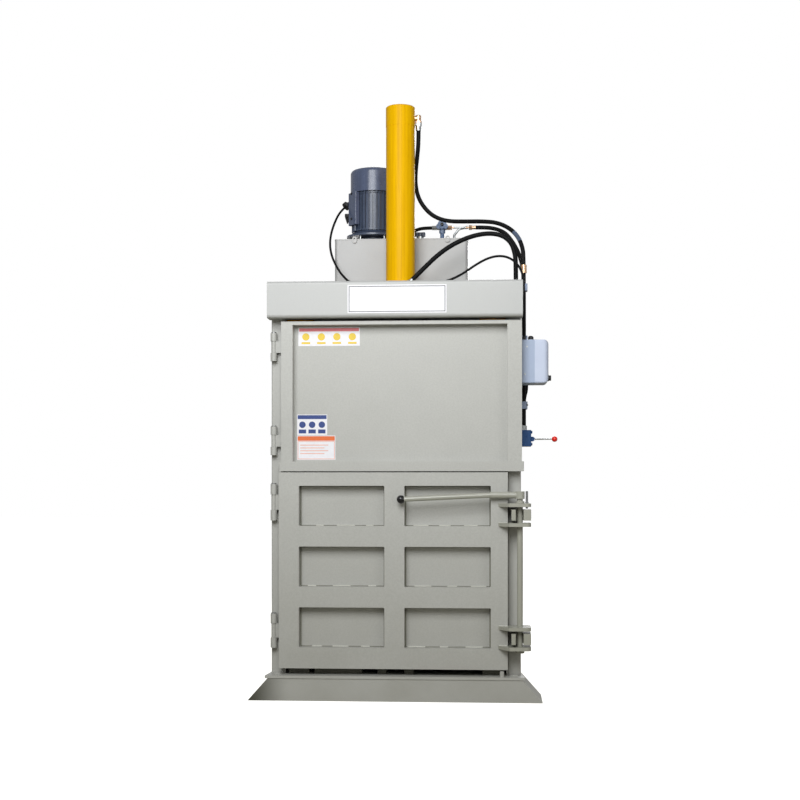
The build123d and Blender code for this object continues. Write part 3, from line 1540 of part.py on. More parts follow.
with BuildPart() as pressure_pipe:
    with BuildSketch(Plane.YZ.offset(pipe_start_x)):
        with Locations((relief_y, pressure_z)):
            Circle(pipe_radius)
    extrude(amount=pipe_end_x - pipe_start_x)
    with BuildSketch(Plane.YZ.offset(pipe_end_x)):
        with Locations((relief_y, pressure_z)):
            RegularPolygon(small_nut_across / 2 + 1, 6, major_radius=False)
    extrude(amount=(pressure_start_x - pipe_end_x) * 0.45)
    with BuildSketch(Plane.YZ.offset(pipe_end_x)):
        with Locations((relief_y, pressure_z)):
            Circle(small_nut_across / 2 - 1)
    extrude(amount=pressure_start_x - pipe_end_x)

with BuildPart() as hose_joiner:
    with BuildSketch(Plane.XY.offset(joiner_z)):
        with Locations((drop_x, hose_top_y)):
            Circle(joiner_radius)
            Circle(hose_top_size / 2 + slide_clearance, mode=Mode.SUBTRACT)
    extrude(amount=joiner_height)

with BuildPart() as valve_unions:
    with BuildSketch(Plane.XY.offset(valve_top)):
        with Locations((drop_x, valve_y - valve_pitch), (drop_x, valve_y), (drop_x, valve_y + valve_pitch)):
            RegularPolygon(valve_union_across / 2, 6, major_radius=False)
    extrude(amount=valve_union_height)

with BuildPart() as hose_fittings:
    add(top_elbow.part)
    add(low_port_elbow.part)
    add(pump_union.part)
    add(relief_unions.part)
    add(pressure_pipe.part)
    add(hose_joiner.part)
    add(valve_unions.part)
    with BuildSketch(Plane.XY.offset(lid_top)):
        with Locations((filler_x, filler_y)):
            Circle(filler_neck_radius)
    extrude(amount=filler_neck_height)

# Hose clamps: two clips and the lower block, bored to the hoses
clamp_depth = 34.0
clamp_margin = 7.5
clamp_clearance = 0.3
upper_clip_z = 1895.0
upper_clip_height = 33.0
middle_clip_z = 1664.0
middle_clip_height = 20.0
block_z = 1341.0
block_height = 34.0
clamp_front = hose_top_y - hose_top_size / 2 - clamp_margin
clip_back = hose_pressure_y + hose_pressure_size / 2 + 2
block_back = hose_return_y + hose_bottom_size / 2 + clamp_margin
with BuildPart() as hose_clamps:
    for clip_z, clip_height in ((upper_clip_z, upper_clip_height), (middle_clip_z, middle_clip_height)):
        with BuildSketch(Plane.XY.offset(clip_z)):
            with Locations((half_width, clamp_front)):
                Rectangle(clamp_depth, clip_back - clamp_front, align=(Align.MIN, Align.MIN))
            with Locations((drop_x, hose_top_y)):
                Circle(hose_top_size / 2 + clamp_clearance, mode=Mode.SUBTRACT)
            with Locations((drop_x, hose_pressure_y)):
                Circle(hose_pressure_size / 2 + clamp_clearance, mode=Mode.SUBTRACT)
        extrude(amount=clip_height)
    with BuildSketch(Plane.XY.offset(block_z)):
        with Locations((half_width, clamp_front)):
            Rectangle(clamp_depth, block_back - clamp_front, align=(Align.MIN, Align.MIN))
        with Locations((drop_x, hose_top_y)):
            Circle(hose_top_size / 2 + clamp_clearance, mode=Mode.SUBTRACT)
        with Locations((drop_x, hose_pressure_y)):
            Circle(hose_pressure_size / 2 + clamp_clearance, mode=Mode.SUBTRACT)
        with Locations((drop_x, hose_return_y)):
            Circle(hose_bottom_size / 2 + clamp_clearance, mode=Mode.SUBTRACT)
    extrude(amount=block_height)

# Cable glands: at the terminal box, and the two on top of the control box
dome_offset = 47.0
dome_x = half_width + dome_offset
dome_y = box_y
dome_radius = 15.0
plug_z = 2332.0
plug_reach = 27.0
plug_radius = 14.0
plug_drop = 34.0
with BuildPart() as cable_glands:
    with BuildSketch(Plane(origin=gland_root, z_dir=terminal_side)):
        Circle(gland_root_radius)
    extrude(amount=terminal_gland_reach)
    with BuildSketch(Plane(origin=gland_root + terminal_side * gland_root_length, z_dir=terminal_side)):
        Circle(13)
    extrude(amount=terminal_gland_reach - gland_root_length)
    with Locations(gland_knee):
        Sphere(13)
    with BuildSketch(Plane(origin=gland_knee, z_dir=terminal_nut_way)):
        Circle(terminal_nut_radius)
    extrude(amount=terminal_nut_height)
    with BuildSketch(Plane(origin=(gland_root.X, gland_root.Y, plug_z), z_dir=terminal_side)):
        Circle(gland_root_radius)
    extrude(amount=plug_reach)
    plug_x = gland_root.X + plug_reach * terminal_side.X
    plug_y = gland_root.Y + plug_reach * terminal_side.Y
    with BuildSketch(Plane.XY.offset(plug_z)):
        with Locations((plug_x, plug_y)):
            Circle(plug_radius)
    extrude(amount=plug_radius)
    with BuildSketch(Plane.XY.offset(plug_z)):
        with Locations((plug_x, plug_y)):
            Circle(plug_radius)
    with BuildSketch(Plane.XY.offset(plug_z - plug_drop)):
        with Locations((plug_x, plug_y)):
            Circle(3)
    loft()
    with BuildSketch(Plane.XY.offset(box_bottom + box_height)):
        with Locations((motor_cable_x, motor_cable_y)):
            RegularPolygon(11, 6)
    extrude(amount=9)
    with BuildSketch(Plane.XY.offset(box_bottom + box_height)):
        with Locations((motor_cable_x, motor_cable_y)):
            Circle(8.5)
    extrude(amount=box_gland_height)
    with BuildSketch(Plane.XY.offset(box_bottom + box_height)):
        with Locations((dome_x, dome_y)):
            Circle(dome_radius)
    extrude(amount=7)
    with BuildSketch(Plane.XY.offset(box_bottom + box_height)):
        with Locations((dome_x, dome_y)):
            Circle(dome_radius - 2)
    extrude(amount=box_gland_height)
    fillet(
        cable_glands.edges().filter_by(GeomType.CIRCLE).sort_by_distance(
            (dome_x, dome_y, box_bottom + box_height + box_gland_height)
        )[0],
        radius=9,
    )

# Bolts: eight through the cylinder flange and the head plate, and the studs under the motor flange
nut_height = 13.0
with BuildPart() as flange_bolts:
    with BuildSketch(Plane.XY.offset(flange_top)):
        with PolarLocations(bolt_circle, bolt_count, start_angle=bolt_start):
            RegularPolygon(bolt_head_across / 2, 6, major_radius=False)
    extrude(amount=bolt_head_height)
    with BuildSketch(Plane.XY.offset(head_under - nut_height - 4)):
        with PolarLocations(bolt_circle, bolt_count, start_angle=bolt_start):
            Circle(bolt_radius)
    extrude(amount=flange_top - head_under + nut_height + 4)
    with BuildSketch(Plane.XY.offset(head_under - nut_height)):
        with PolarLocations(bolt_circle, bolt_count, start_angle=bolt_start):
            RegularPolygon(bolt_head_across / 2, 6, major_radius=False)
    extrude(amount=nut_height)
    with BuildSketch(Plane.XY.offset(lid_top)):
        with Locations((motor_x, motor_y)):
            with PolarLocations(stud_circle, stud_count):
                Circle(stud_radius)
    extrude(amount=flange_ring_gap)

pieces = {
    "front_foot": front_foot,
    "rear_foot": rear_foot,
    "base_bearers": base_bearers,
    "floor_plate": floor_plate,
    "floor_bars": floor_bars,
    "left_wall": left_wall,
    "right_wall": right_wall,
    "rear_wall": rear_wall,
    "corner_posts": corner_posts,
    "wall_ribs": wall_ribs,
    "service_plates": service_plates,
    "front_beam": front_beam,
    "rear_beam": rear_beam,
    "head_plate": head_plate,
    "cylinder_tube": cylinder_tube,
    "cylinder_cap": cylinder_cap,
    "cylinder_gland": cylinder_gland,
    "flange_bolts": flange_bolts,
    "hose_fittings": hose_fittings,
    "oil_tank": oil_tank,
    "tank_lid": tank_lid,
    "filler_cap": filler_cap,
    "breather_pipe": breather_pipe,
    "relief_block": relief_block,
    "motor_housing": motor_housing,
    "fan_cowl": fan_cowl,
    "motor_flange": motor_flange,
    "terminal_box": terminal_box,
    "cable_glands": cable_glands,
    "motor_rotor": motor_rotor,
    "cooling_fan": cooling_fan,
    "pump_body": pump_body,
    "hose_top": hose_top,
    "hose_bottom": hose_bottom,
    "hose_pressure": hose_pressure,
    "hose_pump": hose_pump,
    "motor_cable": motor_cable,
    "hose_clamps": hose_clamps,
    "control_box": control_box,
    "control_box_lid": control_box_lid,
    "control_knob": control_knob,
    "valve_body": valve_body,
    "valve_lever": valve_lever,
    "lever_ball": lever_ball,
    "upper_door_frame": upper_door_frame,
    "upper_door_panel": upper_door_panel,
    "lower_door_frame": lower_door_frame,
    "lower_door_panel": lower_door_panel,
    "hinge_barrels": hinge_barrels,
    "hinge_pins": hinge_pins,
    "lock_forks": lock_forks,
    "lock_lugs": lock_lugs,
    "lock_rod": lock_rod,
    "lock_handle": lock_handle,
    "handle_ball": handle_ball,
    "lock_pin": lock_pin,
    "platen": platen,
    "ram_rod": ram_rod,
    "piston": piston,
    "guide_shoes": guide_shoes,
}
for name, piece in pieces.items():
    piece.part.label = name
    export_step(piece.part, "parts/" + name + ".step")
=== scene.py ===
import bpy
import json
import math
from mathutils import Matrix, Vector

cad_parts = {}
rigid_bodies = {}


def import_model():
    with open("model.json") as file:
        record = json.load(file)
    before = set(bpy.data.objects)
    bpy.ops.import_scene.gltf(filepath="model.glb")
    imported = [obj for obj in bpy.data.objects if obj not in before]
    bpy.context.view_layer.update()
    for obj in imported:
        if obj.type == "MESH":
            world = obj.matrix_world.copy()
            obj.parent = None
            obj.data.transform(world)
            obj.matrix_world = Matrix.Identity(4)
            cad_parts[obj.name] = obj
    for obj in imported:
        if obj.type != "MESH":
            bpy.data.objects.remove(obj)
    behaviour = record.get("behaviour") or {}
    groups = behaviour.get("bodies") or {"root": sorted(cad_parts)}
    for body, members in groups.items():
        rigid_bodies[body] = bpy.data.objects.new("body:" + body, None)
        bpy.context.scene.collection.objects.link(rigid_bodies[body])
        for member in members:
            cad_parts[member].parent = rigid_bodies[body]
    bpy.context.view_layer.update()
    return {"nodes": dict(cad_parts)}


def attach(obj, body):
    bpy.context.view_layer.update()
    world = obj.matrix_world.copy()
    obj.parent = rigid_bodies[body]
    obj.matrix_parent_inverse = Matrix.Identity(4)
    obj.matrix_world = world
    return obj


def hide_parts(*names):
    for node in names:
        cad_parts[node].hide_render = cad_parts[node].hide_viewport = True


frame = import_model()
print("frame loaded:", len(frame["nodes"]), "pieces from the CAD")


def clearSelection():
    for item in list(bpy.context.view_layer.objects.selected):
        item.select_set(False)


def linearColour(hexText):
    values = [int(hexText[i:i + 2], 16) / 255 for i in (1, 3, 5)]
    return tuple(v / 12.92 if v <= 0.04045 else ((v + 0.055) / 1.055) ** 2.4 for v in values) + (1.0,)


def addNode(tree, kind, values=None, links=None, **options):
    node = tree.nodes.new(kind)
    for name, value in options.items():
        setattr(node, name, value)
    for name, value in (values or {}).items():
        node.inputs[name].default_value = value
    for name, source in (links or {}).items():
        tree.links.new(source, node.inputs[name])
    return node


def perMetre(millimetres):
    return 1000.0 / millimetres


def startMaterial(name):
    material = bpy.data.materials.new(name)
    material.use_nodes = True
    tree = material.node_tree
    tree.nodes.clear()
    output = tree.nodes.new("ShaderNodeOutputMaterial")
    place = tree.nodes.new("ShaderNodeTexCoord")
    return material, tree, output, place.outputs["Object"]


coatSettings = {"grain": (0.35, 0.65), "cloud": (0.3, 0.7), "sheen": (0.05, 0.06), "peelDepth": 0.0006,
                "lowShadeAndDustColour": "#6F6B5A", "paintedEndShadeColour": "#45453A", "paintedEndShadeX": (-0.67, -0.47)}


# sprayed satin machine paint: soft sheen, orange peel, faint cloudiness, dust near the floor with painted
# shade darkening the paint towards the bottom, and painted shade at the left end; the real peel of 1 to 2 mm
# is drawn coarser, so that it shows
def machinePaint(name, look):
    material, tree, output, spot = startMaterial(name)
    coat = coatSettings
    cloud = addNode(tree, "ShaderNodeTexNoise",
                    {"Scale": perMetre(look["cloudMm"]), "Detail": 4.0, "Roughness": 0.6}, {"Vector": spot})
    drawn = addNode(tree, "ShaderNodeMapping", {"Scale": look.get("drawn", (1, 1, 1))}, {"Vector": spot})
    speck = addNode(tree, "ShaderNodeTexNoise", {"Scale": perMetre(look["peelMm"]), "Detail": 2.0},
                    {"Vector": drawn.outputs[0]})
    body = addNode(tree, "ShaderNodeMix", {6: linearColour(look["dark"]), 7: linearColour(look["light"])},
                   {0: cloud.outputs[0]}, data_type="RGBA")
    grain = addNode(tree, "ShaderNodeMapRange",
                    {"From Min": coat["grain"][0], "From Max": coat["grain"][1], "To Max": look["speckle"]},
                    {"Value": speck.outputs[0]})
    mottled = addNode(tree, "ShaderNodeMix", {7: linearColour(look["shade"])},
                      {0: grain.outputs[0], 6: body.outputs[2]}, data_type="RGBA")
    place = addNode(tree, "ShaderNodeSeparateXYZ", None, {"Vector": spot})
    # darker towards the bottom: dust near the floor, and higher up painted shade for the light that falls off
    # downwards
    low = addNode(tree, "ShaderNodeMapRange",
                  {"From Max": look["lowShadeAndDustTop"], "To Min": look["lowShadeAndDust"], "To Max": 0.0},
                  {"Value": place.outputs["Z"]})
    patches = addNode(tree, "ShaderNodeMath", None, {0: low.outputs[0], 1: cloud.outputs[0]},
                      operation="MULTIPLY")
    lowShadedAndDusty = addNode(tree, "ShaderNodeMix", {7: linearColour(coat["lowShadeAndDustColour"])},
                    {0: patches.outputs[0], 6: mottled.outputs[2]}, data_type="RGBA")
    # painted shade: the paint darkens smoothly towards the left end of the foot
    end = addNode(tree, "ShaderNodeMapRange",
                  {"From Min": coat["paintedEndShadeX"][0], "From Max": coat["paintedEndShadeX"][1],
                   "To Min": look.get("end", 0.0), "To Max": 0.0},
                  {"Value": place.outputs["X"]}, interpolation_type="SMOOTHSTEP")
    endShaded = addNode(tree, "ShaderNodeMix", {7: linearColour(coat["paintedEndShadeColour"])},
                     {0: end.outputs[0], 6: lowShadedAndDusty.outputs[2]}, data_type="RGBA")
    gloss = addNode(tree, "ShaderNodeMapRange",
                    {"From Min": coat["cloud"][0], "From Max": coat["cloud"][1],
                     "To Min": look["rough"] - coat["sheen"][0], "To Max": look["rough"] + coat["sheen"][1]},
                    {"Value": cloud.outputs[0]})
    peel = addNode(tree, "ShaderNodeBump", {"Strength": look["peel"], "Distance": coat["peelDepth"]},
                   {"Height": speck.outputs[0]})
    shader = addNode(tree, "ShaderNodeBsdfPrincipled", {"IOR": look.get("ior", 1.5)},
                     {"Base Color": endShaded.outputs[2], "Roughness": gloss.outputs[0],
                      "Normal": peel.outputs[0]})
    tree.links.new(shader.outputs[0], output.inputs["Surface"])
    return material


skinSettings = {"cloudMm": 90, "sheen": 0.05, "grainDepth": 0.0003}


# moulded plastic and rubber: fine moulding grain, slightly uneven sheen
def mouldedSkin(name, look):
    material, tree, output, spot = startMaterial(name)
    grain = addNode(tree, "ShaderNodeTexNoise", {"Scale": perMetre(look["grainMm"]), "Detail": 3.0},
                    {"Vector": spot})
    cloud = addNode(tree, "ShaderNodeTexNoise", {"Scale": perMetre(skinSettings["cloudMm"]), "Detail": 2.0},
                    {"Vector": spot})
    tint = addNode(tree, "ShaderNodeMix", {6: linearColour(look["dark"]), 7: linearColour(look["light"])},
                   {0: cloud.outputs[0]}, data_type="RGBA")
    gloss = addNode(tree, "ShaderNodeMapRange",
                    {"To Min": look["rough"] - skinSettings["sheen"],
                     "To Max": look["rough"] + skinSettings["sheen"]}, {"Value": cloud.outputs[0]})
    bump = addNode(tree, "ShaderNodeBump",
                   {"Strength": look["grain"], "Distance": skinSettings["grainDepth"]},
                   {"Height": grain.outputs[0]})
    shader = addNode(tree, "ShaderNodeBsdfPrincipled", {"IOR": look.get("ior", 1.5)},
                     {"Base Color": tint.outputs[2], "Roughness": gloss.outputs[0],
                      "Normal": bump.outputs[0]})
    tree.links.new(shader.outputs[0], output.inputs["Surface"])
    return material


metalSettings = {"marks": (0.3, 0.7), "sheen": (0.07, 0.08), "markDepth": 0.0002}


# bare or plated metal: tool or plating marks that change the roughness and the colour a little
def workedMetal(name, look):
    material, tree, output, spot = startMaterial(name)
    stretch = addNode(tree, "ShaderNodeMapping", {"Scale": look["marks"]}, {"Vector": spot})
    marks = addNode(tree, "ShaderNodeTexNoise", {"Scale": perMetre(look["markMm"]), "Detail": 4.0},
                    {"Vector": stretch.outputs[0]})
    tint = addNode(tree, "ShaderNodeMix", {6: linearColour(look["dark"]), 7: linearColour(look["light"])},
                   {0: marks.outputs[0]}, data_type="RGBA")
    metal = metalSettings
    gloss = addNode(tree, "ShaderNodeMapRange",
                    {"From Min": metal["marks"][0], "From Max": metal["marks"][1],
                     "To Min": look["rough"] - metal["sheen"][0],
                     "To Max": look["rough"] + metal["sheen"][1]}, {"Value": marks.outputs[0]})
    bump = addNode(tree, "ShaderNodeBump", {"Strength": look["relief"], "Distance": metal["markDepth"]},
                   {"Height": marks.outputs[0]})
    shader = addNode(tree, "ShaderNodeBsdfPrincipled", {"Metallic": 1.0},
                     {"Base Color": tint.outputs[2], "Roughness": gloss.outputs[0],
                      "Normal": bump.outputs[0]})
    tree.links.new(shader.outputs[0], output.inputs["Surface"])
    return material


# zinc-plated unions with dull grey marks, and among them the warmer brass ones, picked out by their place
def unionMetal(name, look):
    material, tree, output, spot = startMaterial(name)
    marks = addNode(tree, "ShaderNodeTexNoise", {"Scale": perMetre(look["markMm"]), "Detail": 4.0},
                    {"Vector": spot})
    zinc, brass = [addNode(tree, "ShaderNodeMix", {6: linearColour(dark), 7: linearColour(light)},
                           {0: marks.outputs[0]}, data_type="RGBA")
                   for dark, light in (look["zinc"], look["brass"])]
    total = None
    for centre, reach in look["brassSpots"]:
        away = addNode(tree, "ShaderNodeVectorMath", {1: centre}, {0: spot}, operation="DISTANCE")
        inside = addNode(tree, "ShaderNodeMath", {1: reach}, {0: away.outputs["Value"]},
                         operation="LESS_THAN")
        if total is None:
            total = inside
        else:
            total = addNode(tree, "ShaderNodeMath", None, {0: total.outputs[0], 1: inside.outputs[0]},
                            operation="MAXIMUM")
    tint = addNode(tree, "ShaderNodeMix", None,
                   {0: total.outputs[0], 6: zinc.outputs[2], 7: brass.outputs[2]}, data_type="RGBA")
    gloss = addNode(tree, "ShaderNodeMapRange", {"To Min": look["rough"][0], "To Max": look["rough"][1]},
                    {"Value": marks.outputs[0]})
    shader = addNode(tree, "ShaderNodeBsdfPrincipled", {"Metallic": 1.0},
                     {"Base Color": tint.outputs[2], "Roughness": gloss.outputs[0]})
    tree.links.new(shader.outputs[0], output.inputs["Surface"])
    return material


vinylSettings = {"inkMm": 14, "shade": (0.9, 1.04), "rough": 0.35, "ior": 1.46}


# printed vinyl: flat ink, a little uneven, under a thin clear film
def printedVinyl(name, hexText):
    material, tree, output, spot = startMaterial(name)
    film = vinylSettings
    ink = addNode(tree, "ShaderNodeTexNoise", {"Scale": perMetre(film["inkMm"]), "Detail": 2.0},
                  {"Vector": spot})
    shade = addNode(tree, "ShaderNodeMapRange", {"To Min": film["shade"][0], "To Max": film["shade"][1]},
                    {"Value": ink.outputs[0]})
    tint = addNode(tree, "ShaderNodeHueSaturation", {"Color": linearColour(hexText)},
                   {"Value": shade.outputs[0]})
    shader = addNode(tree, "ShaderNodeBsdfPrincipled", {"Roughness": film["rough"], "IOR": film["ior"]},
                     {"Base Color": tint.outputs[0]})
    tree.links.new(shader.outputs[0], output.inputs["Surface"])
    return material


# the grey paints darken towards the bottom up to 1.1 m: dust near the floor, painted shade above it
greyPaint = {"dark": "#B2B2AD", "light": "#BCBCB7", "shade": "#979790", "speckle": 0.1, "cloudMm": 260,
             "peelMm": 4, "peel": 0.3, "rough": 0.38, "lowShadeAndDust": 0.57, "lowShadeAndDustTop": 1.1}
finishes = {
    "frameGrey": machinePaint("satinGreyMachinePaint", greyPaint),
    # the foot's paint carries painted shade at its left end
    "footGrey": machinePaint("footPaintWithPaintedEndShade", dict(greyPaint, end=1.0, lowShadeAndDust=0.62)),
    "headGrey": machinePaint("satinLightGreyMachinePaint",
                             dict(greyPaint, dark="#B1B2B0", light="#BBBCBA", speckle=0.06)),
    "doorGrey": machinePaint("satinGreyDoorPaint", dict(greyPaint, speckle=0.2, peelMm=7)),
    # the lock parts in a darker copy of the grey paint: painted shade on them
    "lockGrey": machinePaint("lockPaintDarkenedForShade",
                             dict(greyPaint, dark="#9B9B90", light="#AEAEA2", rough=0.24)),
    # floor bars in a much darker paint: painted shade in the gap under the door
    "barGrey": machinePaint("floorBarPaintDarkenedForShade",
                            dict(greyPaint, dark="#4C4C43", light="#626257", rough=0.6)),
    "tankGrey": machinePaint("satinTankPaint", dict(greyPaint, dark="#A4A4A3", light="#B2B2B1")),
    # lighter, glossier copy of the grey paint: its lighter colour is a painted highlight on the weld beads
    "beadGrey": machinePaint("weldBeadPaintLightenedForHighlights",
                             dict(greyPaint, dark="#B9B9AF", light="#D2D2C8", rough=0.24, lowShadeAndDust=0.0)),
    # dark copy of the grey paint: painted shade in the corners of the pockets
    "seamGrey": machinePaint("paintedShadeInPocketCorners",
                             dict(greyPaint, dark="#66665B", light="#7C7C70", rough=0.6)),
    "cylinderYellow": machinePaint("glossYellowPaint", {
        "dark": "#E8B000", "light": "#F6C000", "shade": "#D39A00", "speckle": 0.5, "cloudMm": 120,
        "peelMm": 9, "drawn": (1, 1, 0.02), "peel": 0.12, "rough": 0.34, "lowShadeAndDust": 0.0, "lowShadeAndDustTop": 0.1,
        "ior": 1.16}),
    "pressYellow": machinePaint("orangeYellowPressPaint", {
        "dark": "#E0980C", "light": "#F0AA18", "shade": "#8C6A3A", "speckle": 0.25, "cloudMm": 160,
        "peelMm": 5, "peel": 0.3, "rough": 0.45, "lowShadeAndDust": 0.0, "lowShadeAndDustTop": 0.1, "ior": 1.35}),
    "cowlBlue": machinePaint("blueGreyCowlEnamel", {
        "dark": "#465069", "light": "#596480", "shade": "#343D52", "speckle": 0.35, "cloudMm": 60,
        "peelMm": 12, "drawn": (1, 1, 0.06), "peel": 0.4, "rough": 0.26, "lowShadeAndDust": 0.0, "lowShadeAndDustTop": 0.1}),
    "motorBlue": machinePaint("blueGreyMotorEnamel", {
        "dark": "#3A4458", "light": "#4F5B72", "shade": "#242B37", "speckle": 0.3, "cloudMm": 70,
        "peelMm": 3, "peel": 0.5, "rough": 0.32, "lowShadeAndDust": 0.0, "lowShadeAndDustTop": 0.1}),
    "valveBlue": machinePaint("blueValveEnamel", {
        "dark": "#17457C", "light": "#2763A8", "shade": "#0F2F57", "speckle": 0.25, "cloudMm": 40,
        "peelMm": 3, "peel": 0.4, "rough": 0.3, "lowShadeAndDust": 0.0, "lowShadeAndDustTop": 0.1}),
    "reliefBlue": machinePaint("blueReliefEnamel", {
        "dark": "#3B5780", "light": "#52739F", "shade": "#26395A", "speckle": 0.3, "cloudMm": 40,
        "peelMm": 3, "peel": 0.4, "rough": 0.34, "lowShadeAndDust": 0.0, "lowShadeAndDustTop": 0.1}),
    "clampBlue": machinePaint("paleBlueClampCoat", {
        "dark": "#8E9EBC", "light": "#A6B4CE", "shade": "#8090B0", "speckle": 0.2, "cloudMm": 30,
        "peelMm": 3, "peel": 0.3, "rough": 0.35, "lowShadeAndDust": 0.0, "lowShadeAndDustTop": 0.1}),
    "boxBlue": machinePaint("paleBluePowderCoat", {
        "dark": "#9BA9C2", "light": "#ACB9CF", "shade": "#8797B2", "speckle": 0.2, "cloudMm": 60,
        "peelMm": 2.5, "peel": 0.5, "rough": 0.42, "lowShadeAndDust": 0.0, "lowShadeAndDustTop": 0.1}),
    "lidGrey": mouldedSkin("paleMouldedLid", {"dark": "#B9C3D9", "light": "#C9D2E5", "grainMm": 1.6,
                                              "grain": 0.25, "rough": 0.38}),
    "sleeveBlue": mouldedSkin("blueGreyShrinkSleeve", {"dark": "#2E3848", "light": "#56657F", "grainMm": 6,
                                                       "grain": 0.2, "rough": 0.35}),
    "blackPlastic": mouldedSkin("blackMouldedNylon", {"dark": "#17181A", "light": "#232427", "grainMm": 1.2,
                                                      "grain": 0.3, "rough": 0.45}),
    "hoseBlack": mouldedSkin("blackHoseRubber", {"dark": "#050607", "light": "#0D0E10", "grainMm": 2.2,
                                                 "grain": 0.35, "rough": 0.6, "ior": 1.25}),
    "sheathBlack": mouldedSkin("blackCableSheath", {"dark": "#050607", "light": "#0C0D0F", "grainMm": 1.5,
                                                    "grain": 0.2, "rough": 0.6, "ior": 1.25}),
    "ballBlack": mouldedSkin("glossBlackPhenolic", {"dark": "#0C0C0E", "light": "#161619", "grainMm": 3,
                                                    "grain": 0.05, "rough": 0.16}),
    "ballRed": mouldedSkin("glossRedPlastic", {"dark": "#E01A0C", "light": "#F03020", "grainMm": 3,
                                               "grain": 0.05, "rough": 0.18}),
    "shoeGreen": mouldedSkin("greenBearingPlastic", {"dark": "#1C4A2A", "light": "#27603A", "grainMm": 2,
                                                     "grain": 0.2, "rough": 0.5}),
    "zincSteel": workedMetal("zincPlatedSteel", {"dark": "#8C9092", "light": "#BFC3C4", "marks": (1, 1, 1),
                                                 "markMm": 9, "rough": 0.34, "relief": 0.15}),
    "turnedSteel": workedMetal("turnedSteel", {"dark": "#77787A", "light": "#A5A6A6", "marks": (1, 1, 9),
                                               "markMm": 12, "rough": 0.38, "relief": 0.2}),
    "chromeRod": workedMetal("hardChromeRod", {"dark": "#C9CCCE", "light": "#DFE1E2", "marks": (1, 1, 3),
                                               "markMm": 30, "rough": 0.12, "relief": 0.02}),
    "unions": unionMetal("platedAndBrassUnions", {
        "zinc": ("#8F9496", "#C6C9C8"), "brass": ("#AE8058", "#F2D3B4"), "markMm": 7, "rough": (0.24, 0.42),
        "brassSpots": [((0.345, 0.190, 2.2612), 0.032), ((0.236, 0.190, 2.2612), 0.019),
                       ((0.0875, 0, 2.765), 0.032), ((0.592, -0.172, 1.998), 0.035)]}),
    "whiteVinyl": printedVinyl("whitePrintedVinyl", "#EDECF0"),
    "inkRed": printedVinyl("redPinkInk", "#D9646B"),
    "inkYellow": printedVinyl("yellowInk", "#E6C528"),
    "inkBlue": printedVinyl("darkBlueInk", "#2F4483"),
    "inkOrange": printedVinyl("orangeInk", "#E4703A"),
    "inkSalmon": printedVinyl("salmonInk", "#E9B4A4"),
    "inkDark": printedVinyl("darkFrameInk", "#4A4D52"),
}

nodeFinish = {
    "footGrey": ["front_foot"],
    "frameGrey": ["rear_foot", "base_bearers", "floor_plate", "left_wall", "right_wall", "rear_wall",
                  "corner_posts", "wall_ribs", "service_plates", "head_plate", "hinge_barrels"],
    "doorGrey": ["upper_door_frame", "upper_door_panel", "lower_door_frame", "lower_door_panel"],
    "lockGrey": ["lock_forks", "lock_lugs", "lock_handle", "lock_rod"],
    "barGrey": ["floor_bars"],
    "headGrey": ["front_beam", "rear_beam"],
    "tankGrey": ["oil_tank", "tank_lid"],
    "cylinderYellow": ["cylinder_tube", "cylinder_cap"],
    "pressYellow": ["platen"],
    "cowlBlue": ["fan_cowl", "terminal_box"],
    "motorBlue": ["motor_housing", "motor_flange", "filler_cap"],
    "valveBlue": ["valve_body"],
    "reliefBlue": ["relief_block"],
    "clampBlue": ["hose_clamps"],
    "boxBlue": ["control_box"],
    "lidGrey": ["control_box_lid"],
    "blackPlastic": ["cable_glands", "control_knob", "cooling_fan"],
    "zincSteel": ["flange_bolts", "breather_pipe"],
    "turnedSteel": ["hinge_pins", "lock_pin", "cylinder_gland", "piston", "motor_rotor", "pump_body"],
    "chromeRod": ["ram_rod", "valve_lever"],
    "unions": ["hose_fittings"],
    "ballBlack": ["handle_ball"],
    "ballRed": ["lever_ball"],
    "shoeGreen": ["guide_shoes"],
    "hoseBlack": ["hose_top", "hose_bottom", "hose_pressure", "hose_pump"],
    "sheathBlack": ["motor_cable"],
}


def dressNode(name, material):
    piece = frame["nodes"][name]
    if not piece.material_slots:
        piece.data.materials.append(material)
    for holder in piece.material_slots:
        holder.material = material


dressed = set()
for finishName, names in nodeFinish.items():
    for name in names:
        dressNode(name, finishes[finishName])
        dressed.add(name)
print("finishes on", len(dressed), "CAD pieces; left bare:", sorted(set(frame["nodes"]) - dressed))

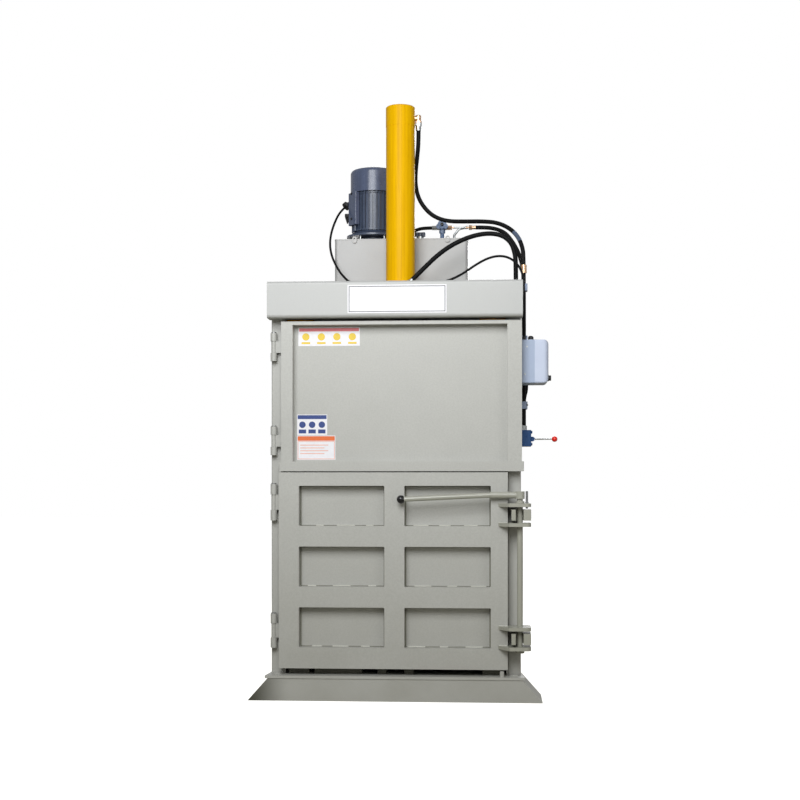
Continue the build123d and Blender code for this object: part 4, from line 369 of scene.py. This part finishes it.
# hoses and cable: the points are those of the CAD routes, in metres
hoses = {
    "topHose": {"node": "hose_top", "size": 0.0205, "length": 1.836, "finish": "hoseBlack",
                "slot": "hose_rubber",
                "points": [(0.0875, 0, 2.698), (0.0875, 0, 2.640), (0.080, 0.026, 2.578),
                           (0.071, 0.048, 2.514), (0.069, 0.061, 2.452), (0.081, 0.067, 2.392),
                           (0.112, 0.067, 2.338),
                           (0.160, 0.058, 2.292), (0.226, 0.042, 2.266), (0.312, 0.014, 2.259),
                           (0.396, -0.018, 2.253), (0.466, -0.050, 2.241), (0.526, -0.088, 2.207),
                           (0.566, -0.124, 2.160), (0.585, -0.152, 2.108), (0.592, -0.172, 2.056),
                           (0.592, -0.172, 1.325), (0.592, -0.176, 1.292), (0.592, -0.176, 1.262)]},
    "bottomHose": {"node": "hose_bottom", "size": 0.022, "length": 1.434, "finish": "hoseBlack",
                   "slot": "hose_rubber",
                   "points": [(0.06238, -0.08093, 1.96669), (0.1143, -0.0831, 2.0165), (0.178, -0.091, 2.077),
                              (0.250, -0.099, 2.127), (0.334, -0.106, 2.164), (0.418, -0.112, 2.180),
                              (0.488, -0.118, 2.170), (0.534, -0.120, 2.134), (0.553, -0.120, 2.074),
                              (0.556, -0.120, 2.010), (0.556, -0.120, 1.612), (0.572, -0.120, 1.548),
                              (0.598, -0.120, 1.492), (0.605, -0.120, 1.440), (0.592, -0.120, 1.393),
                              (0.592, -0.120, 1.325), (0.592, -0.116, 1.292), (0.592, -0.116, 1.262)]},
    "pressureHose": {"node": "hose_pressure", "size": 0.020, "length": 1.263, "finish": "hoseBlack",
                     "slot": "hose_rubber",
                     "points": [(0.362, 0.190, 2.2612), (0.412, 0.190, 2.2612), (0.458, 0.172, 2.251),
                                (0.491, 0.140, 2.233), (0.513, 0.101, 2.211), (0.534, 0.046, 2.176),
                                (0.556, -0.020, 2.128), (0.574, -0.076, 2.078), (0.588, -0.118, 2.016),
                                (0.592, -0.146, 1.950), (0.592, -0.146, 1.262)]},
    "pumpHose": {"node": "hose_pump", "size": 0.017, "length": 0.115, "finish": "hoseBlack",
                 "slot": "hose_rubber",
                 "points": [(0.03443, 0.20340, 2.23973), (0.07229, 0.19919, 2.2574), (0.110, 0.190, 2.2612),
                            (0.145, 0.190, 2.2612)]},
    "motorCable": {"node": "motor_cable", "size": 0.011, "length": 1.821, "finish": "sheathBlack",
                   "slot": "cable_sheath",
                   "points": [(-0.29423, 0.23991, 2.38053), (-0.3206, 0.2267, 2.3535), (-0.344, 0.205, 2.298),
                              (-0.359, 0.172, 2.236), (-0.360, 0.128, 2.172), (-0.345, 0.078, 2.110),
                              (-0.317, 0.024, 2.052), (-0.283, -0.036, 2.000), (-0.240, -0.092, 1.955),
                              (-0.184, -0.146, 1.924), (-0.108, -0.196, 1.920), (-0.020, -0.228, 1.921),
                              (0.078, -0.246, 1.920), (0.170, -0.250, 1.923), (0.246, -0.242, 1.938),
                              (0.308, -0.236, 1.970), (0.366, -0.238, 2.010), (0.424, -0.242, 2.041),
                              (0.480, -0.242, 2.052), (0.530, -0.240, 2.040), (0.568, -0.240, 2.004),
                              (0.588, -0.240, 1.958), (0.592, -0.240, 1.900), (0.592, -0.240, 1.674)]},
}


tubeSteps = {"along": 10, "round": 5}


def drawTube(name, points, size):
    line = bpy.data.curves.new(name, "CURVE")
    line.dimensions = "3D"
    line.resolution_u = tubeSteps["along"]
    line.bevel_depth = size / 2
    line.bevel_resolution = tubeSteps["round"]
    line.use_fill_caps = True
    spline = line.splines.new("NURBS")
    spline.points.add(len(points) - 1)
    for point, place in zip(spline.points, points):
        point.co = (*place, 1.0)
    spline.order_u = 3
    spline.use_endpoint_u = True
    piece = bpy.data.objects.new(name, line)
    bpy.context.scene.collection.objects.link(piece)
    return piece


def layHose(name, facts):
    piece = drawTube(name, facts["points"], facts["size"])
    piece.data.materials.append(finishes[facts["finish"]])
    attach(piece, "base")
    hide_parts(facts["node"])


for name, facts in hoses.items():
    layHose(name, facts)
print("hoses laid:", len(hoses))


def takeFocus(piece):
    clearSelection()
    piece.select_set(True)
    bpy.context.view_layer.objects.active = piece


def settle(piece, smoothAngle=35):
    takeFocus(piece)
    bpy.ops.object.transform_apply(location=True, rotation=True, scale=True)
    bpy.ops.object.shade_smooth_by_angle(angle=math.radians(smoothAngle))


def roundEdges(piece, width, steps=2):
    takeFocus(piece)
    edge = piece.modifiers.new("edge", "BEVEL")
    edge.width = width
    edge.segments = steps
    edge.limit_method = "ANGLE"
    bpy.ops.object.modifier_apply(modifier=edge.name)


def addBlock(name, low, high):
    clearSelection()
    middle = [(a + b) / 2 for a, b in zip(low, high)]
    bpy.ops.mesh.primitive_cube_add(size=1, location=middle, scale=[b - a for a, b in zip(low, high)])
    piece = bpy.context.active_object
    piece.name = name
    bpy.ops.object.transform_apply(location=True, rotation=True, scale=True)
    return piece


def joinInto(first, others):
    clearSelection()
    for piece in (first, *others):
        piece.select_set(True)
    bpy.context.view_layer.objects.active = first
    if others:
        bpy.ops.object.join()
    return first


def pickFaces(piece, wanted):
    takeFocus(piece)
    for part in (piece.data.vertices, piece.data.edges):
        for item in part:
            item.select = False
    for face in piece.data.polygons:
        face.select = wanted(face)
    bpy.ops.object.mode_set(mode="EDIT")
    bpy.ops.mesh.select_mode(type="FACE")


# bare plate with its dark frame line; nothing is written on it
nameplate = {"low": (-0.212, -0.4434, 1.7646), "high": (0.238, -0.442, 1.893), "border": 0.0055,
             "line": 0.0035, "sink": 0.0002}
plate = addBlock("beamNameplate", nameplate["low"], nameplate["high"])
for ink in ("whiteVinyl", "inkDark"):
    plate.data.materials.append(finishes[ink])
pickFaces(plate, lambda face: face.normal.y < -0.9)
bpy.ops.mesh.inset(thickness=nameplate["border"], depth=0)
plate.active_material_index = 1
bpy.ops.object.material_slot_assign()
bpy.ops.mesh.inset(thickness=nameplate["line"], depth=-nameplate["sink"])
plate.active_material_index = 0
bpy.ops.object.material_slot_assign()
bpy.ops.object.mode_set(mode="OBJECT")
settle(plate)
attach(plate, "base")
print("nameplate set on the beam")

# generic colour fields: nothing printed on them can be read
vinyl = {"panel": -0.356, "sheet": 0.0005, "inkFront": 0.0007, "inkBack": 0.0004, "rim": 0.0002, "sides": 40}
labels = {
    "wideLabel": {"area": (-0.449, 1.625, -0.164, 1.711), "fields": (
        [("bar", -0.445, 1.692, -0.168, 1.707, "inkRed")]
        + [("disc", -0.414 + 0.0717 * i, 1.667, 0.017, "inkYellow") for i in range(4)]
        + [("bar", -0.434 + 0.0717 * i, 1.634, -0.394 + 0.0717 * i, 1.643, "inkYellow") for i in range(4)])},
    "blueLabel": {"area": (-0.455, 1.214, -0.315, 1.309), "fields": (
        [("bar", -0.452, 1.288, -0.318, 1.306, "inkBlue")]
        + [("disc", -0.430 + 0.045 * i, 1.262, 0.015, "inkBlue") for i in range(3)]
        + [("bar", -0.447 + 0.045 * i, 1.222, -0.413 + 0.045 * i, 1.240, "inkBlue") for i in range(3)])},
    "orangeLabel": {"area": (-0.455, 1.100, -0.277, 1.212), "fields": (
        [("bar", -0.452, 1.188, -0.280, 1.209, "inkOrange"),
         ("bar", -0.452, 1.103, -0.280, 1.106, "inkSalmon"),
         ("bar", -0.452, 1.183, -0.280, 1.186, "inkSalmon"),
         ("bar", -0.452, 1.106, -0.449, 1.183, "inkSalmon"),
         ("bar", -0.283, 1.106, -0.280, 1.183, "inkSalmon")]
        + [("bar", -0.440, 1.166 - 0.013 * i, -0.310 - 0.018 * (i % 2), 1.170 - 0.013 * i, "inkSalmon")
           for i in range(4)])},
}
inkFront, inkBack = vinyl["panel"] - vinyl["inkFront"], vinyl["panel"] - vinyl["inkBack"]
for name, facts in labels.items():
    x0, z0, x1, z1 = facts["area"]
    sheet = addBlock(name, (x0, vinyl["panel"] - vinyl["sheet"], z0), (x1, vinyl["panel"], z1))
    roundEdges(sheet, vinyl["rim"], 1)
    sheet.data.materials.append(finishes["whiteVinyl"])
    prints = []
    for field in facts["fields"]:
        if field[0] == "bar":
            mark = addBlock("mark", (field[1], inkFront, field[2]), (field[3], inkBack, field[4]))
        else:
            clearSelection()
            bpy.ops.mesh.primitive_cylinder_add(vertices=vinyl["sides"], radius=field[3],
                                                depth=inkBack - inkFront,
                                                location=(field[1], (inkFront + inkBack) / 2, field[2]),
                                                rotation=(math.pi / 2, 0, 0))
            mark = bpy.context.active_object
        mark.data.materials.append(finishes[field[-1]])
        prints.append(mark)
    settle(joinInto(sheet, prints))
    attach(sheet, "upper_door")
print("labels stuck on the upper door:", len(labels))

# weld beads: overlapping puddles along each stitch, in a lighter copy of the frame paint: painted highlights
# on the beads
bead = {"pitch": 0.0034, "segments": 8, "rings": 5, "swell": 0.1, "beat": 2.4, "smooth": 60}


def layBeads(name, runs, body, puddle):
    clearSelection()
    bpy.ops.mesh.primitive_uv_sphere_add(segments=bead["segments"], ring_count=bead["rings"], radius=puddle,
                                         location=runs[0][0])
    piece = bpy.context.active_object
    piece.name = name
    bpy.ops.object.transform_apply(location=True, rotation=True, scale=True)
    bpy.ops.object.mode_set(mode="EDIT")
    for start, end in runs:
        start, end = Vector(start), Vector(end)
        count = max(2, int((end - start).length / bead["pitch"]))
        for step in range(count + 1):
            spot = start.lerp(end, step / count)
            size = puddle * (1.0 + bead["swell"] * math.sin(bead["beat"] * step))
            bpy.ops.mesh.primitive_uv_sphere_add(segments=bead["segments"], ring_count=bead["rings"],
                                                 radius=size, location=spot)
    bpy.ops.object.mode_set(mode="OBJECT")
    piece.data.materials.append(finishes["beadGrey"])
    settle(piece, bead["smooth"])
    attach(piece, body)


pockets = {"x": (-0.24345, 0.24085), "z": (0.3325, 0.6105, 0.8885), "half": (0.1965, 0.092)}
stitch = {"puddle": 0.003, "face": -0.3585, "lift": 0.0015, "run": 0.055, "shifts": (-0.125, 0, 0.125),
          "drift": 0.02, "driftBeat": (7.1, 40), "uneven": 0.45, "unevenBeat": (3.3, 11)}
pocketRuns = []
for middleX in pockets["x"]:
    for middleZ in pockets["z"]:
        level = middleZ - pockets["half"][1] + stitch["lift"]
        for shift in stitch["shifts"]:
            # each run starts and ends where the welder happened to stop
            count = len(pocketRuns)
            turn, rise = stitch["driftBeat"], stitch["unevenBeat"]
            middle = middleX + shift + stitch["drift"] * math.sin(turn[0] * count + turn[1] * middleX)
            swell = 1.0 + stitch["uneven"] * math.sin(rise[0] * count + rise[1] * middleZ)
            half = stitch["run"] / 2 * swell
            pocketRuns.append([(x, stitch["face"], level) for x in (middle - half, middle + half)])
layBeads("pocketWelds", pocketRuns, "lower_door", stitch["puddle"])
print("weld stitches laid in the pockets:", len(pocketRuns))

# dark lines where the back sheet meets the door frame: painted shade in the corners of the pockets
seam = {"front": -0.3605, "back": -0.3579, "side": 0.006, "top": 0.004, "foot": 0.003, "edge": 0.0008}
bars = []
for middleX in pockets["x"]:
    for middleZ in pockets["z"]:
        left, right = middleX - pockets["half"][0], middleX + pockets["half"][0]
        foot, top = middleZ - pockets["half"][1], middleZ + pockets["half"][1]
        for x0, z0, x1, z1 in ((left, foot, left + seam["side"], top),
                               (right - seam["side"], foot, right, top),
                               (left, top - seam["top"], right, top),
                               (left, foot, right, foot + seam["foot"])):
            bars.append(addBlock("seam", (x0, seam["front"], z0), (x1, seam["back"], z1)))
seams = joinInto(bars[0], bars[1:])
seams.name = "pocketShadeLines"
roundEdges(seams, seam["edge"], 1)
seams.data.materials.append(finishes["seamGrey"])
settle(seams)
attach(seams, "lower_door")

# fillet welds at the roots of the lock lugs and of the forks
rootWelds = {
    "lugWelds": {"body": "lower_door", "slot": "door_paint", "x": (0.476, 0.511), "y": -0.4105,
                 "levels": (0.240, 0.256, 0.329, 0.345, 0.797, 0.813, 0.886, 0.902)},
    "forkWelds": {"body": "base", "slot": "frame_paint", "x": (0.533, 0.572), "y": -0.3505,
                  "levels": (0.268, 0.317, 0.825, 0.874)},
}
rootPuddle = 0.0028
for name, facts in rootWelds.items():
    runs = [[(x, facts["y"], level) for x in facts["x"]] for level in facts["levels"]]
    layBeads(name, runs, facts["body"], rootPuddle)
print("seams and root welds laid")

# screw heads with a socket, sunk lightly into what they hold: shares of the radius and of the height
socket = {"sides": 24, "wall": 0.5, "depth": 0.6, "edge": 0.15, "stand": 0.42}
screws = {
    "boxScrews": {"finish": "zincSteel", "radius": 0.0042, "height": 0.0024, "way": (0, -1, 0),
                  "places": [(0.6027, -0.3482, 1.6174), (0.5936, -0.3482, 1.4917)]},
    "terminalScrews": {"finish": "blackPlastic", "radius": 0.0065, "height": 0.003, "way": (-0.82, -0.57, 0),
                       "places": [(-0.258, 0.1906, 2.4377), (-0.258, 0.1906, 2.3113)]},
    "clampScrew": {"finish": "blackPlastic", "radius": 0.0045, "height": 0.003, "way": (0, -1, 0),
                   "places": [(0.6075, -0.1899, 1.3584)]},
    "reliefScrew": {"finish": "blackPlastic", "radius": 0.0078, "height": 0.004, "way": (0, -1, 0),
                    "places": [(0.1955, 0.1626, 2.2757)]},
}
for name, facts in screws.items():
    heads = []
    for place in facts["places"]:
        clearSelection()
        bpy.ops.mesh.primitive_cylinder_add(vertices=socket["sides"], radius=facts["radius"],
                                            depth=facts["height"])
        head = bpy.context.active_object
        pickFaces(head, lambda face: face.normal.z > 0.9)
        bpy.ops.mesh.inset(thickness=facts["radius"] * socket["wall"], depth=0)
        sunk = (0, 0, -socket["depth"] * facts["height"])
        bpy.ops.mesh.extrude_region_move(TRANSFORM_OT_translate={"value": sunk})
        bpy.ops.object.mode_set(mode="OBJECT")
        roundEdges(head, facts["height"] * socket["edge"])
        head.rotation_euler = Vector(facts["way"]).to_track_quat("Z", "Y").to_euler()
        head.location = Vector(place) + Vector(facts["way"]).normalized() * facts["height"] * socket["stand"]
        head.data.materials.append(finishes[facts["finish"]])
        heads.append(head)
    joined = joinInto(heads[0], heads[1:])
    joined.name = name
    settle(joined)
    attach(joined, "base")

# the blue-grey sleeve on the top hose follows the hose's own bend
sleeve = {"size": 0.0212,
          "points": [(0.546, -0.106, 2.1835), (0.566, -0.124, 2.160), (0.5755, -0.138, 2.134)]}
takeFocus(drawTube("hoseSleeve", sleeve["points"], sleeve["size"]))
bpy.ops.object.convert(target="MESH")
wrap = bpy.context.active_object
wrap.data.materials.append(finishes["sleeveBlue"])
settle(wrap)
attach(wrap, "base")
print("screws and sleeve set:", len(screws) + 1)

# the floor is pale to the camera only, so that it adds no light to the machine
studio = {"floorSize": 60, "floorZ": -0.0005, "floorColour": "#A5A294", "skyLight": 0.2, "skySheen": 0.4,
          "skyShown": 1.0}
clearSelection()
bpy.ops.mesh.primitive_plane_add(size=studio["floorSize"], location=(0, 0, studio["floorZ"]))
floor = bpy.context.active_object
floor.name = "studioFloor"
floorPaint = bpy.data.materials.new("paleStudioFloor")
floorPaint.use_nodes = True
tree = floorPaint.node_tree
tree.nodes.clear()
rays = tree.nodes.new("ShaderNodeLightPath")
matt = addNode(tree, "ShaderNodeBsdfDiffuse", {"Color": linearColour(studio["floorColour"])})
lift = addNode(tree, "ShaderNodeEmission", {"Color": (1, 1, 1, 1)},
               {"Strength": rays.outputs["Is Camera Ray"]})
both = addNode(tree, "ShaderNodeAddShader", None, {0: matt.outputs[0], 1: lift.outputs[0]})
addNode(tree, "ShaderNodeOutputMaterial", None, {"Surface": both.outputs[0]})
floor.data.materials.append(floorPaint)

# the sky is white to the camera, weak in reflections and weaker as light
world = bpy.data.worlds.new("studioWorld")
bpy.context.scene.world = world
world.use_nodes = True
tree = world.node_tree
tree.nodes.clear()
rays = tree.nodes.new("ShaderNodeLightPath")
sheen = addNode(tree, "ShaderNodeMath", {1: studio["skySheen"]}, {0: rays.outputs["Is Glossy Ray"]},
                operation="MULTIPLY")
shown = addNode(tree, "ShaderNodeMath", None, {0: rays.outputs["Is Camera Ray"], 1: sheen.outputs[0]},
                operation="MAXIMUM")
strength = addNode(tree, "ShaderNodeMapRange", {"To Min": studio["skyLight"], "To Max": studio["skyShown"]},
                   {"Value": shown.outputs[0]})
sky = addNode(tree, "ShaderNodeBackground", {"Color": (1, 1, 1, 1)}, {"Strength": strength.outputs[0]})
addNode(tree, "ShaderNodeOutputWorld", None, {"Surface": sky.outputs[0]})

lamps = {
    "keySoftbox": {"place": (-0.45, -4.0, 3.3), "aim": (0, -0.4, 1.7), "size": 2.4, "power": 168,
                   "colour": (0.97, 0.985, 1.0)},
    "fillSoftbox": {"place": (3.2, -4.4, 2.2), "aim": (0, 0, 1.3), "size": 2.6, "power": 28,
                    "colour": (1.0, 1.0, 0.98)},
    "backSoftbox": {"place": (0.5, 4.2, 3.2), "aim": (0, 0, 1.3), "size": 2.6, "power": 130,
                    "colour": (1.0, 1.0, 1.0)},
}
for name, facts in lamps.items():
    glow = bpy.data.lights.new(name, "AREA")
    glow.size = facts["size"]
    glow.energy = facts["power"]
    glow.color = facts["colour"]
    lamp = bpy.data.objects.new(name, glow)
    lamp.location = facts["place"]
    lamp.rotation_euler = (Vector(facts["aim"]) - Vector(facts["place"])).to_track_quat("-Z", "Y").to_euler()
    bpy.context.scene.collection.objects.link(lamp)

eye = {"place": (0.4475, -6.774, 1.007), "turn": 3.8, "lens": 63, "shiftY": 0.1}
lens = bpy.data.cameras.new("frontCamera")
lens.lens = eye["lens"]
lens.sensor_width = 36
lens.shift_y = eye["shiftY"]
camera = bpy.data.objects.new("frontCamera", lens)
camera.location = eye["place"]
camera.rotation_euler = (math.pi / 2, 0, math.radians(eye["turn"]))
bpy.context.scene.collection.objects.link(camera)
bpy.context.scene.camera = camera
bpy.context.scene.view_settings.view_transform = "Standard"
print("floor, lamps and camera set")
